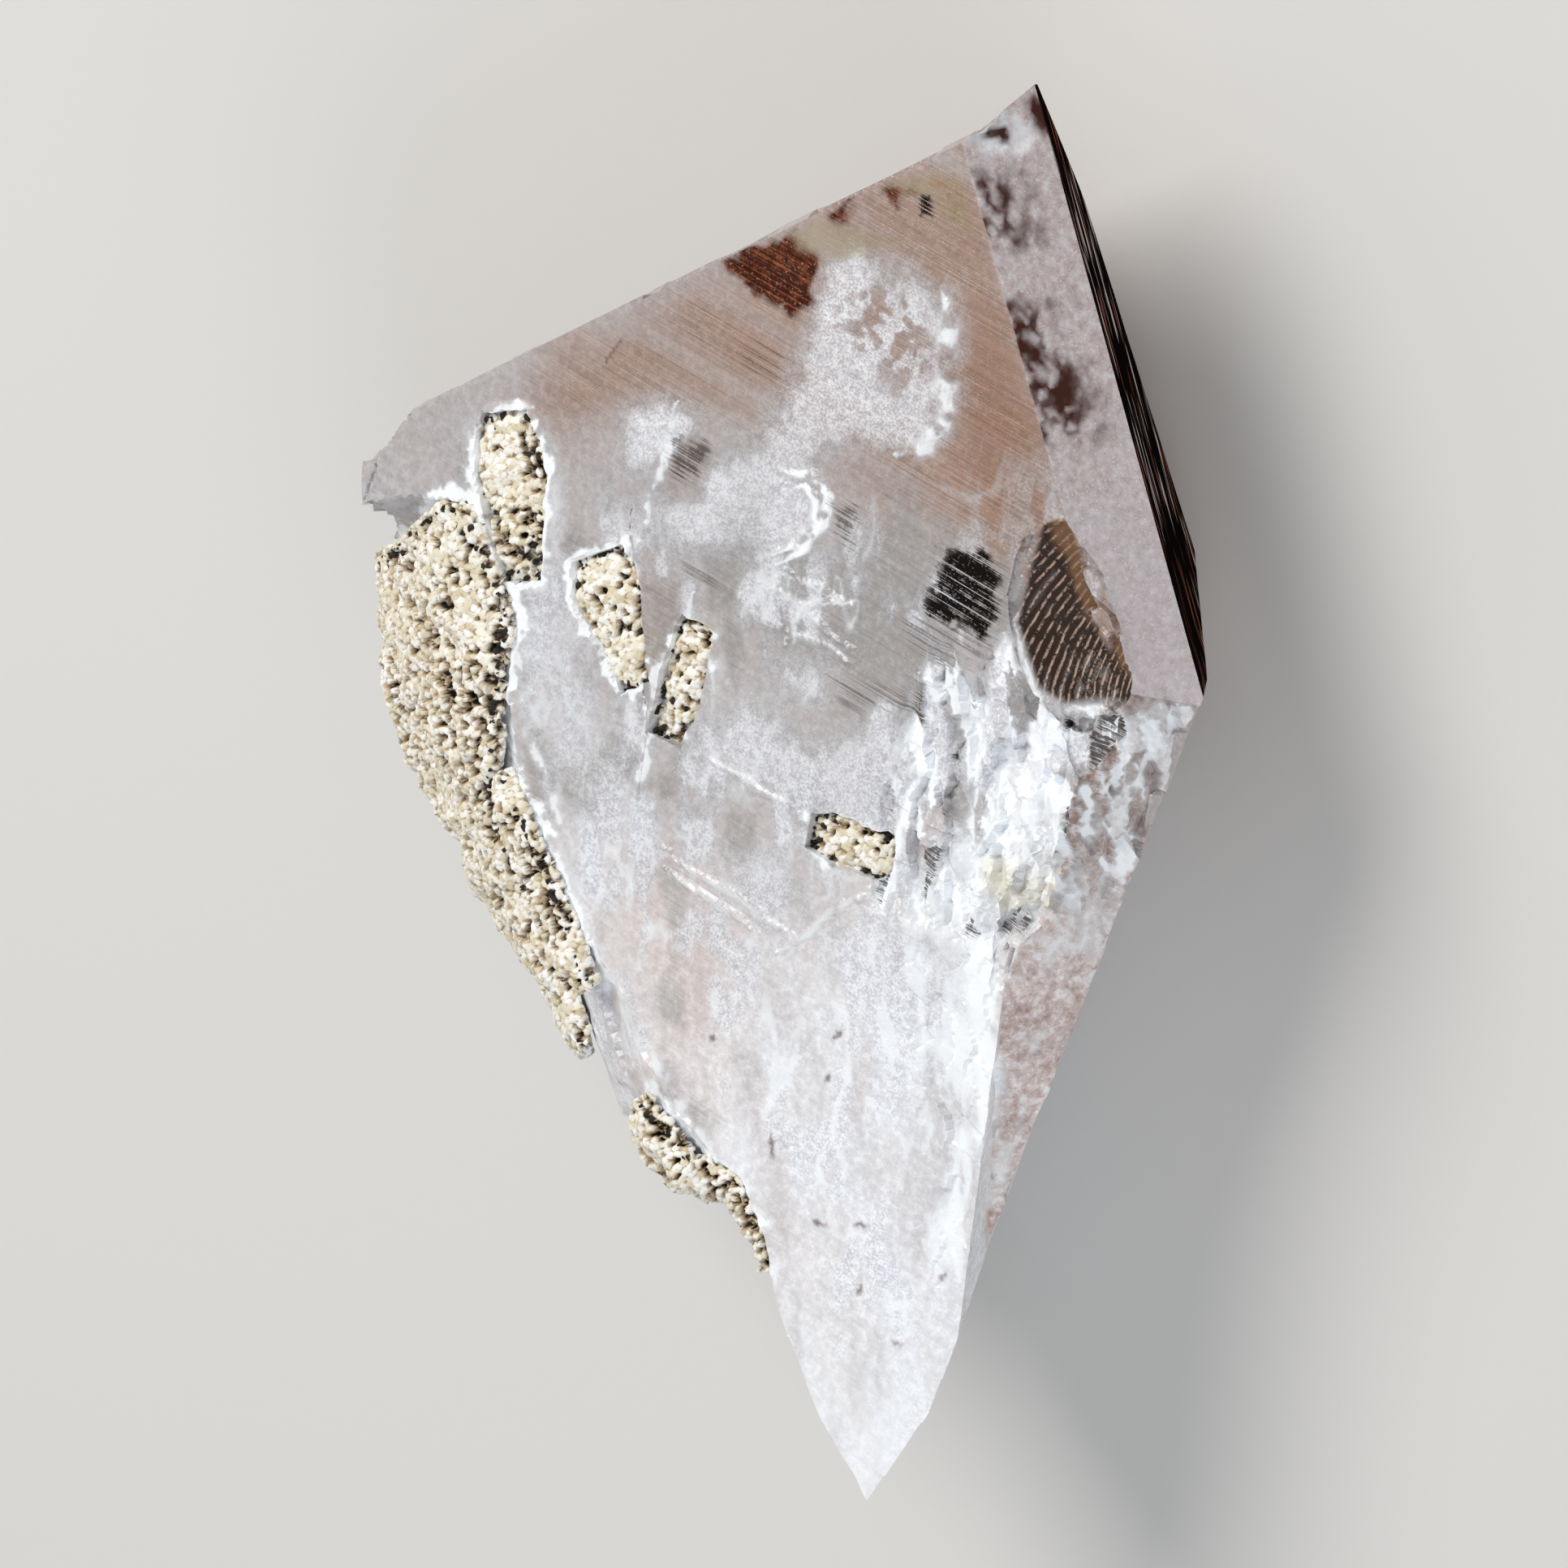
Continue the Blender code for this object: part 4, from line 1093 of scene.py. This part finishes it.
def build_crystal():
    piece = copy_of("quartz_point", "quartz_body")
    mesh = piece.data
    refine(mesh)
    front, tip, side = mark_faces(mesh)
    points = points_of(mesh)
    normals = vertex_normals(mesh)
    marks = shared_patterns(points, normals, front, tip, side)
    for find in (find_breaks, find_clouds, find_bright, find_stains, find_windows, find_tones):
        find(marks)
    set_channels(mesh, "marks", "POINT", marks.cloud, marks.bright, marks.stain, marks.window)
    set_channels(mesh, "tones", "POINT", marks.tan, marks.orange, marks.beige, marks.clear)
    set_channels(mesh, "breaks", "POINT", marks.chip, marks.broken, marks.yellow, marks.white)
    depth, lower = find_relief(marks)
    down = np.column_stack([np.zeros((len(points), 2)), lower])
    set_points(mesh, np.clip(points - normals * depth[:, None] - down, *CAD_BOX_MM))
    mesh.materials.append(quartz_finish())
    mesh.shade_flat()
    keep(piece, "smoky_quartz", "quartz_point")


# ---- The granular crust ----

CRUST_VOXEL = 0.13
CRUST_SPREAD = 0.40  # how far a patch grows sideways
POCKET_SPREAD = 1.10  # and one in a pocket, to fill it
GRAIN_SPACING = 0.41
GRAIN_HEIGHT = 0.21
PIT_DEPTH = 0.70
PIT_SHARE = 0.27
BOX_MARGIN = 0.02  # how far the grains stay inside the CAD's box


def crust_finish():
    paint = Paint("granular_crust")
    grain = paint.node("ShaderNodeAttribute", {"attribute_name": "grain"}, out="Color")
    apart = paint.node("ShaderNodeSeparateColor", None, grain)
    hollow_shade, tone, rim = [Wire(paint, item) for item in apart.socket.node.outputs]
    color = paint.ramp(tone, CRUST_TONES)
    color = paint.blend(rim * 0.8, color, CRUST_WHITE)
    # Painted shade: brown where the grains meet and on their flanks, near black in the pits.
    color = paint.blend(paint.fade(hollow_shade, 0.30, 0.60) * 0.85, color, SEAM_SHADE_BROWN)
    color = paint.blend(paint.fade(hollow_shade, 0.56, 0.78), color, PIT_SHADE_BLACK)
    bump = paint.node("ShaderNodeBump", None, Strength=0.5, Distance=MM,
                      Height=paint.noise(paint.place_mm(), 8.0, 2.0, 0.6) * 0.04)
    finish(paint, paint.node("ShaderNodeBsdfPrincipled", None, Base_Color=color, Roughness=0.7, Normal=bump))
    return paint.material


def remesh(piece, voxel):
    modifier = piece.modifiers.new("grown", "REMESH")
    modifier.mode = "VOXEL"
    modifier.voxel_size = voxel * MM
    bpy.ops.object.select_all(action="DESELECT")
    bpy.context.view_layer.objects.active = piece
    piece.select_set(True)
    bpy.ops.object.modifier_apply(modifier=modifier.name)
    piece.select_set(False)


def grow_grains(piece, seed):
    """Rounds the patch into grains, with a pit where one is missing."""
    mesh = piece.data
    chance = np.random.default_rng(seed)
    points = points_of(mesh)
    normals = vertex_normals(mesh)
    order = chance.permutation(len(points))
    cells = {}
    for index in order:
        cells.setdefault(tuple(np.floor(points[index] / GRAIN_SPACING).astype(int)), index)
    seeds = points[list(cells.values())] + chance.normal(0.0, 0.05, (len(cells), 3))
    tree = kdtree.KDTree(len(seeds))
    for index, spot in enumerate(seeds):
        tree.insert(spot, index)
    tree.balance()
    broad = layered(seeds, (2.6, 2.6, 2.6), 2, seed + 7)
    missing = chance.random(len(seeds)) < PIT_SHARE * (0.4 + 1.4 * smooth(broad, 0.35, 0.65))
    size = chance.uniform(0.75, 1.15, len(seeds))
    tone = chance.random(len(seeds))
    first = np.empty(len(points), int)
    near = np.empty(len(points))
    far = np.empty(len(points))
    for index, spot in enumerate(points):
        (_, owner, distance), (_, _, next_distance) = tree.find_n(spot, 2)
        first[index], near[index], far[index] = owner, distance, next_distance
    seam = smooth(far - near, 0.17, 0.0)
    ball = np.sqrt(np.clip(1.0 - (near / (0.34 * size[first])) ** 2, 0.0, 1.0))
    pit = missing[first] * smooth(far - near, 0.0, 0.12)
    height = GRAIN_HEIGHT * size[first] * ball * (1.0 - missing[first]) - PIT_DEPTH * pit - 0.08
    grown = points + normals * height[:, None]
    set_points(mesh, np.clip(grown, CAD_BOX_MM[0] + BOX_MARGIN, CAD_BOX_MM[1] - BOX_MARGIN))
    # Painted shade: the seams, the grains' flanks and the pits, darkest in the pits.
    hollow_shade = np.maximum(pit, 0.45 * seam + 0.25 * (1.0 - ball))
    edge = smooth(normals[:, 2], 0.55, 0.2)
    set_channels(mesh, "grain", "POINT", hollow_shade, tone[first], edge)


def build_crusts():
    material = crust_finish()
    names = sorted(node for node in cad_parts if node.startswith("crust_"))
    for seed, node in enumerate(names):
        piece = copy_of(node, "granular_" + node)
        mesh = piece.data
        normals = vertex_normals(mesh)
        sideways = normals * np.array([1.0, 1.0, 0.0])
        spread_by = POCKET_SPREAD if "pocket" in node else CRUST_SPREAD
        set_points(mesh, points_of(mesh) + sideways * spread_by)
        remesh(piece, CRUST_VOXEL)
        grow_grains(piece, 60 + seed)
        piece.data.materials.append(material)
        piece.data.shade_smooth()
        keep(piece, "granular_crust", node)


def main():
    bpy.ops.object.select_all(action="DESELECT")
    add_camera()
    add_studio()
    build_crystal()
    build_crusts()


main()
